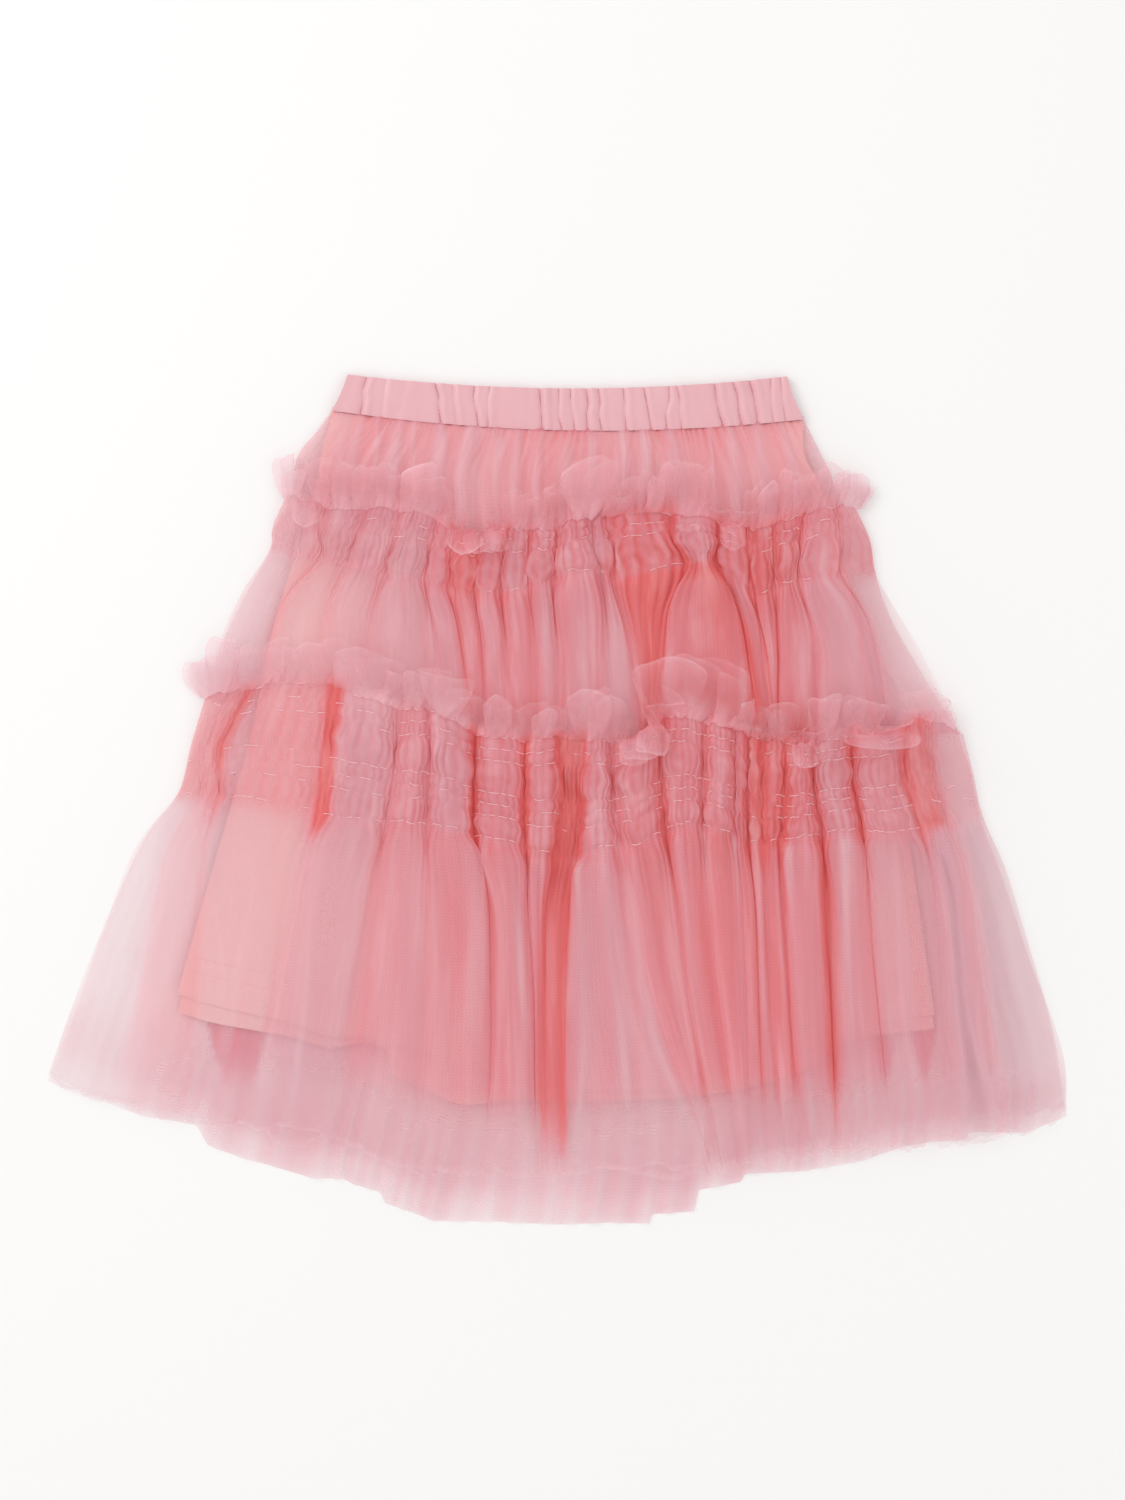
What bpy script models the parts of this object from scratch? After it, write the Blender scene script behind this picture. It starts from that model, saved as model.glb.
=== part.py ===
# A tulle skirt laid flat on its back: waist to +Y, hem to -Y, front panel uppermost.
#
# Every piece is one sheet of cloth. A grid is placed by a table of sections, which run
# across the skirt from its left side seam to its right one, and Solidify gives it its wall.
# Heading, shirred band and flounce of a tier are one cut of tulle, gathered along its
# stitch rows. The grids are the undersides of the sheets, so the back panel lies flat on
# z = 0 between its gathers and everything else is stacked on it, 0.3 mm apart at seams.

import math
from collections import namedtuple

import bmesh
import bpy

MM = 0.001  # the tables and sizes below are in millimetres

# Gathers across each piece
CASING_FRONT_GATHERS = 20
CASING_BACK_GATHERS = 10
YOKE_FRONT_GATHERS = 20
YOKE_BACK_GATHERS = 12
TIER_1_FRONT_GATHERS = 34
TIER_1_BACK_GATHERS = 20
TIER_2_FRONT_GATHERS = 36
TIER_2_BACK_GATHERS = 24
LINING_WAVES = 7  # soft waves of both linings

# Height of a gather's three columns of points, as a share of its depth. Those of the front
# lean over. Those of the back are pressed into ridges with flat cloth between them.
LEANING_GATHER = (0.0, 1.0, 0.55)
PRESSED_GATHER = (0.0, 1.0, 0.0)

DOME_POWER = 4  # how squarely the front rounds down to its side seams
FOLD_POWER = 0.7  # how steeply a large fold's sides stand
GATHER_EVENNESS = 0.55  # height of the lowest gather against the highest
SIDE_SLACK = 0.004  # uneven spacing of the gathers, as a share of the width

# The back's hem hangs lowest here, as shares of the width from the left
HEM_DROP_CENTRE = 0.45
HEM_DROP_REACH = 0.29

# A section's two ends, and how far its middle hangs below the line between them
Section = namedtuple("Section", "left_x left_y right_x right_y sag")

CASING = (
    Section(-156.4, 319.9, 170.6, 318.4, 9.7),  # top edge
    Section(-163.2, 306.7, 178.1, 302.6, 10.7),
    Section(-169.9, 293.6, 185.6, 286.9, 11.7),  # waist seam
)

YOKE = (
    Section(-170.2, 293.0, 185.9, 286.3, 11.7),  # waist seam
    Section(-193.1, 277.1, 198.4, 265.9, 10.0),
    Section(-210.4, 258.4, 211.9, 245.0, 11.5),
    Section(-204.5, 227.5, 224.8, 219.2, 20.6),  # sewn to tier 1's first stitch row
)

TIER_1 = (
    Section(-211.9, 258.4, 236.6, 235.9, 0.0),  # free edge of the heading
    Section(-205.1, 226.9, 225.4, 218.6, 20.6),  # first stitch rows
    Section(-214.1, 205.9, 235.9, 193.1, 22.0),
    Section(-217.1, 188.6, 240.4, 169.9, 23.7),  # last stitch row
    Section(-238.1, 149.6, 251.6, 149.6, 30.0),
    Section(-255.4, 112.1, 275.6, 108.4, 32.0),
    Section(-265.4, 75.2, 305.0, 49.0, 13.0),  # sewn to tier 2's first stitch row
)

TIER_2 = (
    Section(-277.9, 103.1, 299.6, 74.6, 7.0),  # free edge of the heading
    Section(-265.9, 74.6, 305.6, 48.4, 13.0),  # first stitch rows
    Section(-272.6, 50.0, 310.0, 28.0, 18.0),
    Section(-277.9, 32.0, 314.0, 12.0, 22.0),  # middle stitch rows
    Section(-283.0, 16.0, 317.5, -4.0, 26.0),
    Section(-286.9, 3.4, 320.6, -19.1, 30.0),  # last stitch row
    Section(-320.6, -30.4, 334.1, -52.9, 37.0),
    Section(-343.1, -94.1, 354.4, -112.9, 39.0),
    Section(-362.0, -150.0, 381.4, -187.9, 45.0),
    Section(-384.4, -214.1, 384.4, -236.6, 55.0),  # raw hem
)

LINING = (
    Section(-169.4, 292.6, 185.1, 285.8, 11.7),  # waist seam
    Section(-178.0, 262.0, 187.0, 258.0, 12.0),
    Section(-185.0, 224.6, 203.0, 224.6, 12.0),
    Section(-214.1, 130.9, 228.4, 127.1, 12.0),
    Section(-229.0, 60.0, 243.0, 60.0, 16.0),
    Section(-244.1, -4.1, 259.1, -4.1, 22.0),
    Section(-286.9, -163.1, 284.6, -178.1, 51.0),  # turned hem
)

# Heights of a section: its underside at the side seams and in the middle, the depth of its
# gathers, its share of the large folds, how far these have spread from the band (0) to the
# hem (1), how far its middle is drawn down at the hem's drop, how unevenly its edge runs,
# and the column of the tier's Run table that it follows (0 to 3, or between two of them)
Level = namedtuple("Level", "edge middle gather fold spread drop uneven run")

CASING_BACK_LEVELS = (
    Level(0.0, 0.0, 0.7, 0.0, 0.0, 0.0, 0.0, 0.0),
    Level(0.0, 0.0, 0.5, 0.0, 0.0, 0.0, 0.0, 0.0),
    Level(0.0, 0.0, 0.7, 0.0, 0.0, 0.0, 0.0, 0.0),
)

CASING_FRONT_LEVELS = (
    Level(2.8, 3.5, 1.2, 0.0, 0.0, 0.0, 0.0, 0.0),
    Level(2.8, 3.7, 0.9, 0.0, 0.0, 0.0, 0.0, 0.0),
    Level(2.8, 3.5, 1.5, 0.0, 0.0, 0.0, 0.0, 0.0),
)

YOKE_BACK_LEVELS = (
    Level(0.0, 0.0, 0.0, 0.0, 0.0, 0.0, 0.0, 0.0),
    Level(2.0, 0.6, 0.8, 0.0, 0.0, 0.0, 0.0, 0.0),
    Level(1.6, 3.0, 1.0, 0.0, 0.0, 0.0, 0.0, 0.0),
    Level(1.6, 3.0, 0.8, 0.0, 0.0, 0.0, 0.0, 0.0),
)

YOKE_FRONT_LEVELS = (
    Level(4.8, 4.8, 0.6, 0.0, 0.0, 0.0, 0.0, 0.0),
    Level(4.0, 10.5, 3.0, 0.0, 0.0, 0.0, 0.0, 0.0),
    Level(3.2, 12.0, 2.5, 0.0, 0.0, 0.0, 0.0, 0.0),
    Level(3.2, 12.5, 1.2, 0.0, 0.0, 0.0, 0.0, 0.0),
)

TIER_1_BACK_LEVELS = (
    Level(0.0, 0.0, 1.2, 0.0, 0.0, 8.0, 1.0, 0.0),
    Level(0.0, 0.0, 1.2, 0.0, 0.0, 0.0, 0.0, 0.0),
    Level(0.0, 0.0, 2.0, 0.0, 0.0, 0.0, 0.0, 0.0),
    Level(0.0, 0.0, 1.2, 0.0, 0.0, 0.0, 0.0, 0.0),
    Level(0.0, 0.0, 4.0, 0.0, 0.0, 0.0, 0.0, 0.0),
    Level(1.8, 3.1, 2.0, 0.0, 0.0, 0.0, 0.0, 0.0),
    Level(1.5, 3.0, 0.8, 0.0, 0.0, 0.0, 0.0, 0.0),
)

TIER_1_FRONT_LEVELS = (
    Level(4.8, 24.0, 7.0, 0.0, 0.0, 0.0, 4.0, 0.0),
    Level(4.8, 16.8, 1.5, 0.2, 0.0, 0.0, 0.0, 1.0),
    Level(1.5, 20.5, 5.0, 0.5, 0.0, 0.0, 0.0, 1.5),
    Level(1.5, 17.0, 1.5, 0.4, 0.0, 0.0, 0.0, 2.0),
    Level(1.5, 19.0, 4.5, 0.9, 0.5, 0.0, 0.0, 2.4),
    Level(3.0, 17.0, 3.5, 0.4, 0.8, 0.0, 0.0, 2.8),
    Level(3.0, 14.0, 0.8, 0.0, 1.0, 0.0, 0.0, 3.0),
)

TIER_2_BACK_LEVELS = (
    Level(0.0, 0.0, 1.2, 0.0, 0.0, 6.0, 1.0, 0.0),
    Level(0.0, 0.0, 1.2, 0.0, 0.0, 0.0, 0.0, 0.0),
    Level(0.0, 0.0, 2.6, 0.0, 0.0, 0.0, 0.0, 0.0),
    Level(0.0, 0.0, 1.5, 0.0, 0.0, 0.0, 0.0, 0.0),
    Level(0.0, 0.0, 2.6, 0.0, 0.0, 0.0, 0.0, 0.0),
    Level(0.0, 0.0, 1.5, 0.0, 0.0, 0.0, 0.0, 0.0),
    Level(0.0, 0.0, 4.5, 0.0, 0.0, 2.0, 0.0, 0.0),
    Level(0.0, 0.0, 6.0, 0.0, 0.0, 10.0, 0.0, 0.0),
    Level(0.0, 0.0, 6.0, 0.0, 0.0, 22.0, 0.0, 0.0),
    Level(0.0, 0.0, 5.0, 0.0, 0.0, 36.0, 5.0, 0.0),
)

TIER_2_FRONT_LEVELS = (
    Level(4.6, 34.0, 7.0, 0.0, 0.0, 0.0, 4.0, 0.0),
    Level(4.5, 18.0, 1.5, 0.2, 0.0, 0.0, 0.0, 1.0),
    Level(1.5, 22.0, 5.0, 0.6, 0.0, 0.0, 0.0, 1.3),
    Level(1.5, 18.5, 2.0, 0.4, 0.0, 0.0, 0.0, 1.6),
    Level(1.5, 22.0, 5.0, 0.6, 0.0, 0.0, 0.0, 1.8),
    Level(1.5, 19.0, 2.0, 0.5, 0.0, 0.0, 0.0, 2.0),
    Level(1.5, 22.5, 6.0, 0.9, 0.2, 0.0, 0.0, 2.1),
    Level(1.5, 22.0, 7.0, 1.0, 0.5, 0.0, 0.0, 2.4),
    Level(1.5, 17.0, 6.0, 0.9, 0.8, 0.0, 0.0, 2.7),
    Level(1.5, 10.0, 6.0, 0.8, 1.0, 0.0, 4.0, 3.0),
)

LINING_BACK_LEVELS = (
    Level(1.5, 1.5, 0.0, 0.0, 0.0, 0.0, 0.0, 0.0),
    Level(4.8, 5.6, 0.3, 0.0, 0.0, 0.0, 0.0, 0.0),
    Level(4.8, 5.8, 0.8, 0.0, 0.0, 0.0, 0.0, 0.0),
    Level(5.0, 6.8, 1.5, 0.0, 0.0, 0.0, 0.0, 0.0),
    Level(5.4, 6.8, 1.5, 0.0, 0.0, 0.0, 0.0, 0.0),
    Level(6.0, 7.8, 1.8, 0.0, 0.0, 0.0, 0.0, 0.0),
    Level(6.5, 7.8, 2.0, 0.0, 0.0, 3.0, 0.0, 0.0),
)

LINING_LIFT = 1.6  # the front lining's underside above the back lining's

# Large folds: their middle and width at the last stitch row and at the hem, and their height
Fold = namedtuple("Fold", "top_x foot_x top_width foot_width height")

TIER_1_FOLDS = (
    Fold(-204.0, -222.0, 27.0, 38.0, 5.0),
    Fold(-167.0, -182.0, 38.0, 56.0, 8.0),
    Fold(-118.0, -122.0, 52.0, 64.0, 10.0),
    Fold(-60.0, -58.0, 34.0, 45.0, 8.0),
    Fold(-21.0, -21.0, 30.0, 38.0, 7.0),
    Fold(24.0, 26.0, 45.0, 66.0, 11.0),
    Fold(102.0, 107.0, 42.0, 75.0, 13.0),
    Fold(148.0, 152.0, 27.0, 32.0, 7.0),
    Fold(178.0, 186.0, 34.0, 45.0, 9.0),
    Fold(219.0, 233.0, 27.0, 45.0, 7.0),
)

TIER_2_FOLDS = (
    Fold(-262.0, -330.0, 40.0, 70.0, 6.0),
    Fold(-204.0, -249.0, 75.0, 84.0, 9.0),
    Fold(-154.0, -199.0, 42.0, 68.0, 16.0),
    Fold(-96.0, -96.0, 60.0, 110.0, 20.0),
    Fold(-38.0, -34.0, 38.0, 38.0, 13.0),
    Fold(-10.0, -12.0, 20.0, 14.0, 7.0),
    Fold(43.0, 70.0, 66.0, 128.0, 22.0),
    Fold(113.0, 134.0, 56.0, 45.0, 15.0),
    Fold(155.0, 161.0, 22.0, 30.0, 10.0),
    Fold(182.0, 191.0, 32.0, 38.0, 15.0),
    Fold(219.0, 234.0, 34.0, 42.0, 13.0),
    Fold(261.0, 276.0, 52.0, 54.0, 11.0),
    Fold(302.0, 340.0, 38.0, 75.0, 8.0),
)

# How far the front's cloth is bunched up along Y from its even sections, at places across:
# at the heading's free edge, the first and last stitch rows and the tier's lower end
Run = namedtuple("Run", "x heading first last end")

TIER_1_RUNS = (
    Run(-217.0, 0.0, 0.0, 0.0, 10.0),
    Run(-175.0, -1.0, 2.0, 4.0, 15.0),
    Run(-137.0, -9.0, 1.0, -5.0, 17.0),
    Run(-96.0, -5.0, -2.0, 0.0, 9.0),
    Run(-66.0, -20.0, -7.0, -6.0, -4.0),
    Run(-39.0, -28.0, -3.0, -3.0, -9.0),
    Run(-2.0, -8.0, 0.0, 3.0, -5.0),
    Run(28.0, 3.0, 9.0, 14.0, -5.0),
    Run(54.0, -13.0, -9.0, 4.0, 2.0),
    Run(98.0, 6.0, 11.0, 22.0, 12.0),
    Run(126.0, -9.0, 3.0, 8.0, 8.0),
    Run(150.0, -5.0, -5.0, -8.0, 3.0),
    Run(180.0, -1.0, 1.0, 3.0, -4.0),
    Run(215.0, 8.0, 1.0, 2.0, -2.0),
    Run(240.0, 0.0, 0.0, 0.0, 5.0),
)

TIER_2_RUNS = (
    Run(-288.0, 0.0, 0.0, 0.0, 0.0),
    Run(-262.0, 11.0, 4.0, 1.0, 2.0),
    Run(-215.0, 17.0, 14.0, 4.0, 7.0),
    Run(-140.0, 22.0, 17.0, 9.0, 6.0),
    Run(-98.0, 13.0, 9.0, 12.0, -8.0),
    Run(-45.0, -8.0, -10.0, -6.0, -2.0),
    Run(0.0, -16.0, -5.0, -5.0, 0.0),
    Run(35.0, 1.0, -5.0, 2.0, 1.0),
    Run(66.0, 22.0, 2.0, 4.0, 2.0),
    Run(100.0, 24.0, 12.0, 21.0, 3.0),
    Run(150.0, -7.0, 3.0, 5.0, 3.0),
    Run(205.0, 5.0, -6.0, 8.0, 5.0),
    Run(266.0, 3.0, 7.0, 5.0, 0.0),
    Run(322.0, 0.0, 0.0, 0.0, -8.0),
    Run(360.0, 0.0, 0.0, 0.0, 0.0),
)

# A cloth's wall, colour and roughness
Cloth = namedtuple("Cloth", "wall colour roughness")

FRONT_TULLE = Cloth(1.2, (0.80, 0.30, 0.33), 0.9)
BACK_TULLE = Cloth(1.2, (0.74, 0.26, 0.30), 0.9)
LINING_SATIN = Cloth(1.2, (0.87, 0.43, 0.42), 0.45)
CASING_SATIN = Cloth(2.4, (0.88, 0.47, 0.50), 0.45)  # two layers, with elastic between

# Everything that shapes one piece
Cut = namedtuple("Cut", "sections levels gathers pattern folds runs", defaults=((), ()))


def mix(first, last, share):
    return first + (last - first) * share


def row_at(table, down):
    """The table's row at a share down the piece, worked out between its two neighbours."""
    place = down * (len(table) - 1)
    upper = min(int(place), len(table) - 2)
    share = place - upper
    values = (mix(a, b, share) for a, b in zip(table[upper], table[upper + 1]))
    return type(table[0])(*values)


def dome(across):
    """1 over the middle of the skirt, rounding down to 0 at both side seams."""
    return math.sqrt(1.0 - abs(2.0 * across - 1.0) ** DOME_POWER)


def hem_drop(across):
    reach = (across - HEM_DROP_CENTRE) / HEM_DROP_REACH
    return math.sqrt(max(0.0, 1.0 - reach * reach))


def unevenness(column):
    """Between -1 and 1, without a visible repeat."""
    return math.sin(2.1 * column + 0.7) * math.cos(0.37 * column + 0.2)


def gather_height(column, pattern):
    number, phase = divmod(column, len(pattern))
    size = mix(GATHER_EVENNESS, 1.0, 0.5 + 0.5 * math.sin(1.9 * number + 0.6))
    return pattern[phase] * size


def fold_height(folds, x, spread):
    """Height of the large fold that stands highest at x."""
    highest = 0.0
    for fold in folds:
        half_width = 0.5 * mix(fold.top_width, fold.foot_width, spread)
        offset = (x - mix(fold.top_x, fold.foot_x, spread)) / half_width
        if abs(offset) < 1.0:
            highest = max(highest, fold.height * (1.0 - offset * offset) ** FOLD_POWER)
    return highest


def run_offset(runs, x, column):
    """How far the cloth is bunched up at x, in a column of the table or between two."""
    if not runs:
        return 0.0
    x = min(max(x, runs[0].x), runs[-1].x)
    for left, right in zip(runs, runs[1:]):
        if x <= right.x:
            break
    share = (x - left.x) / (right.x - left.x)
    offsets = [mix(a, b, share) for a, b in zip(left[1:], right[1:])]
    before = min(int(column), len(offsets) - 2)
    return mix(offsets[before], offsets[before + 1], column - before)


def sheet_point(cut, column, columns, down):
    """A point of a sheet's underside, in millimetres."""
    across = column / columns
    section = row_at(cut.sections, down)
    level = row_at(cut.levels, down)
    rounding = dome(across)
    slack = SIDE_SLACK * math.sin(math.tau * 7.0 * across) * rounding
    x = mix(section.left_x, section.right_x, across + slack)
    y = mix(section.left_y, section.right_y, across)
    y -= section.sag * 4.0 * across * (1.0 - across)
    y -= level.drop * hem_drop(across)
    y += level.uneven * unevenness(column) * rounding
    y += run_offset(cut.runs, x, level.run) * rounding
    z = mix(level.edge, level.middle, rounding)
    z += level.gather * gather_height(column, cut.pattern) * rounding
    z += level.fold * fold_height(cut.folds, x, level.spread) * rounding
    return x, y, z


def principled(name, colour, roughness):
    material = bpy.data.materials.new(name)
    material.use_nodes = True
    shader = material.node_tree.nodes["Principled BSDF"]
    shader.inputs["Base Color"].default_value = (*colour, 1.0)
    shader.inputs["Roughness"].default_value = roughness
    shader.inputs["Metallic"].default_value = 0.0
    material.diffuse_color = (*colour, 1.0)
    return material


def sew_sheet(name, cut, cloth):
    """A piece of cloth: one row of points for each section, and a wall above them."""
    columns = cut.gathers * len(cut.pattern)
    rows = len(cut.sections) - 1
    sheet = bmesh.new()
    bmesh.ops.create_grid(sheet, x_segments=columns, y_segments=rows, size=0.5)
    for point in sheet.verts:
        column = round((point.co.x + 0.5) * columns)
        row = round((0.5 - point.co.y) * rows)
        point.co = [value * MM for value in sheet_point(cut, column, columns, row / rows)]
    sheet.normal_update()
    mesh = bpy.data.meshes.new(name)
    sheet.to_mesh(mesh)
    sheet.free()
    mesh.shade_smooth()
    mesh.materials.append(principled(name, cloth.colour, cloth.roughness))
    piece = bpy.data.objects.new(name, mesh)
    skirt.objects.link(piece)
    wall = piece.modifiers.new("wall", "SOLIDIFY")
    wall.thickness = cloth.wall * MM
    wall.offset = 1.0


def make_casing():
    sew_sheet("waistband_back", Cut(CASING, CASING_BACK_LEVELS, CASING_BACK_GATHERS,
                                    PRESSED_GATHER), CASING_SATIN)
    sew_sheet("waistband_front", Cut(CASING, CASING_FRONT_LEVELS, CASING_FRONT_GATHERS,
                                     LEANING_GATHER), CASING_SATIN)


def make_yoke():
    sew_sheet("yoke_back", Cut(YOKE, YOKE_BACK_LEVELS, YOKE_BACK_GATHERS,
                               PRESSED_GATHER), BACK_TULLE)
    sew_sheet("yoke_front", Cut(YOKE, YOKE_FRONT_LEVELS, YOKE_FRONT_GATHERS,
                                LEANING_GATHER), FRONT_TULLE)


def make_tiers():
    sew_sheet("tier_1_back", Cut(TIER_1, TIER_1_BACK_LEVELS, TIER_1_BACK_GATHERS,
                                 PRESSED_GATHER), BACK_TULLE)
    sew_sheet("tier_2_back", Cut(TIER_2, TIER_2_BACK_LEVELS, TIER_2_BACK_GATHERS,
                                 PRESSED_GATHER), BACK_TULLE)
    sew_sheet("tier_1_front", Cut(TIER_1, TIER_1_FRONT_LEVELS, TIER_1_FRONT_GATHERS,
                                  LEANING_GATHER, TIER_1_FOLDS, TIER_1_RUNS), FRONT_TULLE)
    sew_sheet("tier_2_front", Cut(TIER_2, TIER_2_FRONT_LEVELS, TIER_2_FRONT_GATHERS,
                                  LEANING_GATHER, TIER_2_FOLDS, TIER_2_RUNS), FRONT_TULLE)


def make_lining():
    front_levels = [
        level._replace(edge=level.edge + LINING_LIFT, middle=level.middle + LINING_LIFT, drop=0.0)
        for level in LINING_BACK_LEVELS
    ]
    sew_sheet("lining_back", Cut(LINING, LINING_BACK_LEVELS, LINING_WAVES,
                                 LEANING_GATHER), LINING_SATIN)
    sew_sheet("lining_front", Cut(LINING, front_levels, LINING_WAVES,
                                  LEANING_GATHER), LINING_SATIN)


for old in list(bpy.data.objects):
    bpy.data.objects.remove(old, do_unlink=True)

skirt = bpy.data.collections.new("tulle_skirt")
bpy.context.scene.collection.children.link(skirt)

make_casing()
make_yoke()
make_lining()
make_tiers()
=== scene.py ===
import bmesh
import bpy
import numpy as np
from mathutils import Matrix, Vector
from mathutils.bvhtree import BVHTree


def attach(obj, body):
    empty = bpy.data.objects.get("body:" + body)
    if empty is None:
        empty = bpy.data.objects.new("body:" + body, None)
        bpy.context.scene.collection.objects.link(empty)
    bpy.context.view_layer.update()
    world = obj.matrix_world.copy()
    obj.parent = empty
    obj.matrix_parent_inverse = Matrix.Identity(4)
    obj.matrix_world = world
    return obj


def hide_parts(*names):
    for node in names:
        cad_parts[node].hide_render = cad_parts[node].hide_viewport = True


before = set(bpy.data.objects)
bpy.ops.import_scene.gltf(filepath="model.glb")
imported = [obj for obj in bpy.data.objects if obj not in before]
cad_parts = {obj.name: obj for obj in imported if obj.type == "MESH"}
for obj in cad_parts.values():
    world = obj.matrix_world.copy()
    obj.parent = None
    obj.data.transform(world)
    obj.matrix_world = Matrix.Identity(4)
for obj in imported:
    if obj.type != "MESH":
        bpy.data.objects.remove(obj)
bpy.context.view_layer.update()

# A gathered tulle skirt lying on its back panel, waist up the page.
# The tables are in millimetres; makeCloth turns them into metres.
mm = 0.001
# A cloth's depth of colour runs from 0 to 1; this first part of it is for cloth in shade.
shadeEnd = 0.12


def hexToLinear(code):
    channels = [int(code[i:i + 2], 16) / 255 for i in (1, 3, 5)]
    return [c / 12.92 if c <= 0.04045 else ((c + 0.055) / 1.055) ** 2.4 for c in channels] + [1.0]


def setInputs(tree, node, inputs):
    # each input is a value or the socket that feeds it
    for name, value in inputs.items():
        if isinstance(value, bpy.types.NodeSocket):
            tree.links.new(value, node.inputs[name])
        else:
            node.inputs[name].default_value = value


def addNode(tree, kind, inputs, output, **settings):
    # adds a node with its settings, and gives the output that is wanted of it
    node = tree.nodes.new("ShaderNode" + kind)
    for name, value in settings.items():
        setattr(node, name, value)
    setInputs(tree, node, inputs)
    return node.outputs[output]


def newMaterial(name):
    material = bpy.data.materials.new(name)
    material.use_nodes = True
    return material, material.node_tree, material.node_tree.nodes["Principled BSDF"]


def placeObject(name, data):
    thing = bpy.data.objects.new(name, data)
    bpy.context.scene.collection.objects.link(thing)
    return thing


def mix(first, last, share):
    return first + (last - first) * share


def eased(t):
    return t * t * (3.0 - 2.0 * t)


def smooth(low, high, value):
    return eased(np.clip((value - low) / (high - low), 0.0, 1.0))


def bell(away, reach):
    return np.exp(-(away / reach) ** 2)


def domeOf(across):
    # height over the skirt, from nothing at the side seams to 1
    return np.sqrt(np.clip(1.0 - np.abs(2.0 * across - 1.0) ** 4, 0.0, 1.0))


def flow(stations, values, at):
    # a smooth line through a table's values, which may have several columns
    stations, values, at = [np.asarray(each, float) for each in (stations, values, at)]
    slopes = np.gradient(values, stations, axis=0)
    low = np.clip(np.searchsorted(stations, at, side="right") - 1, 0, len(stations) - 2)
    span = stations[low + 1] - stations[low]
    t = (at - stations[low]) / span
    if values.ndim > 1:
        span, t = span[..., None], t[..., None]
    bend = (1.0 - t) * slopes[low] - t * slopes[low + 1]
    return mix(values[low], values[low + 1], eased(t)) + t * (1.0 - t) * span * bend


def wander(at, seed):
    # a smooth random line between -1 and 1, with a knot at each whole number
    count = 997
    knots = np.random.default_rng(seed).uniform(-1.0, 1.0, count)
    at = np.asarray(at, float) + 300.0
    low = np.floor(at).astype(int)
    return mix(knots[low % count], knots[(low + 1) % count], eased(at - low))


def rumple(across, down, seed):
    # the same in two directions
    count = 199
    knots = np.random.default_rng(seed).uniform(-1.0, 1.0, (count, count))
    across, down = np.asarray(across, float) + 60.0, np.asarray(down, float) + 60.0
    a, d = np.floor(across).astype(int), np.floor(down).astype(int)
    a0, a1, d0, d1 = [knot % count for knot in (a, a + 1, d, d + 1)]
    s, t = eased(across - a), eased(down - d)
    return mix(mix(knots[a0, d0], knots[a1, d0], s), mix(knots[a0, d1], knots[a1, d1], s), t)


def makeCloth(name, x, y, z, marks, material, outward=1):
    # a grid of cloth; x, y and z hold a row for each line of points, in millimetres
    rows, columns = x.shape
    grid = bmesh.new()
    grid.loops.layers.uv.new("OFBake")
    bmesh.ops.create_grid(grid, x_segments=columns - 1, y_segments=rows - 1, size=0.5,
                          calc_uvs=True)
    if outward < 0:
        bmesh.ops.reverse_faces(grid, faces=grid.faces[:])
    mesh = bpy.data.meshes.new(name)
    grid.to_mesh(mesh)
    grid.free()
    flat = np.empty(len(mesh.vertices) * 3)
    mesh.vertices.foreach_get("co", flat)
    column = np.rint((flat[::3] + 0.5) * (columns - 1)).astype(int)
    row = np.rint((0.5 - flat[1::3]) * (rows - 1)).astype(int)
    places = np.stack([x[row, column], y[row, column], z[row, column]], axis=1) * mm
    mesh.vertices.foreach_set("co", places.ravel())
    if marks:
        # painted shade pulls the colour down into the first part of the scale
        marks["depth"] = mix(shadeEnd, 1.0, marks["depth"]) - shadeEnd * marks.pop("shade", 0.0)
    for mark, values in marks.items():
        values = np.broadcast_to(values, x.shape)[row, column]
        attribute = mesh.attributes.new(mark, "FLOAT", "POINT")
        attribute.data.foreach_set("value", np.ascontiguousarray(values, np.float32))
    mesh.materials.append(material)
    mesh.shade_smooth()
    mesh.update()
    return placeObject(name, mesh)


def finishPiece(piece, node):
    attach(piece, "root")
    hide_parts(node)
    print("made", piece.name, len(piece.data.polygons), "faces")


def finishSheet(piece, slot, node, flat, held="gathered", **rests):
    finishPiece(piece, node)


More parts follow.
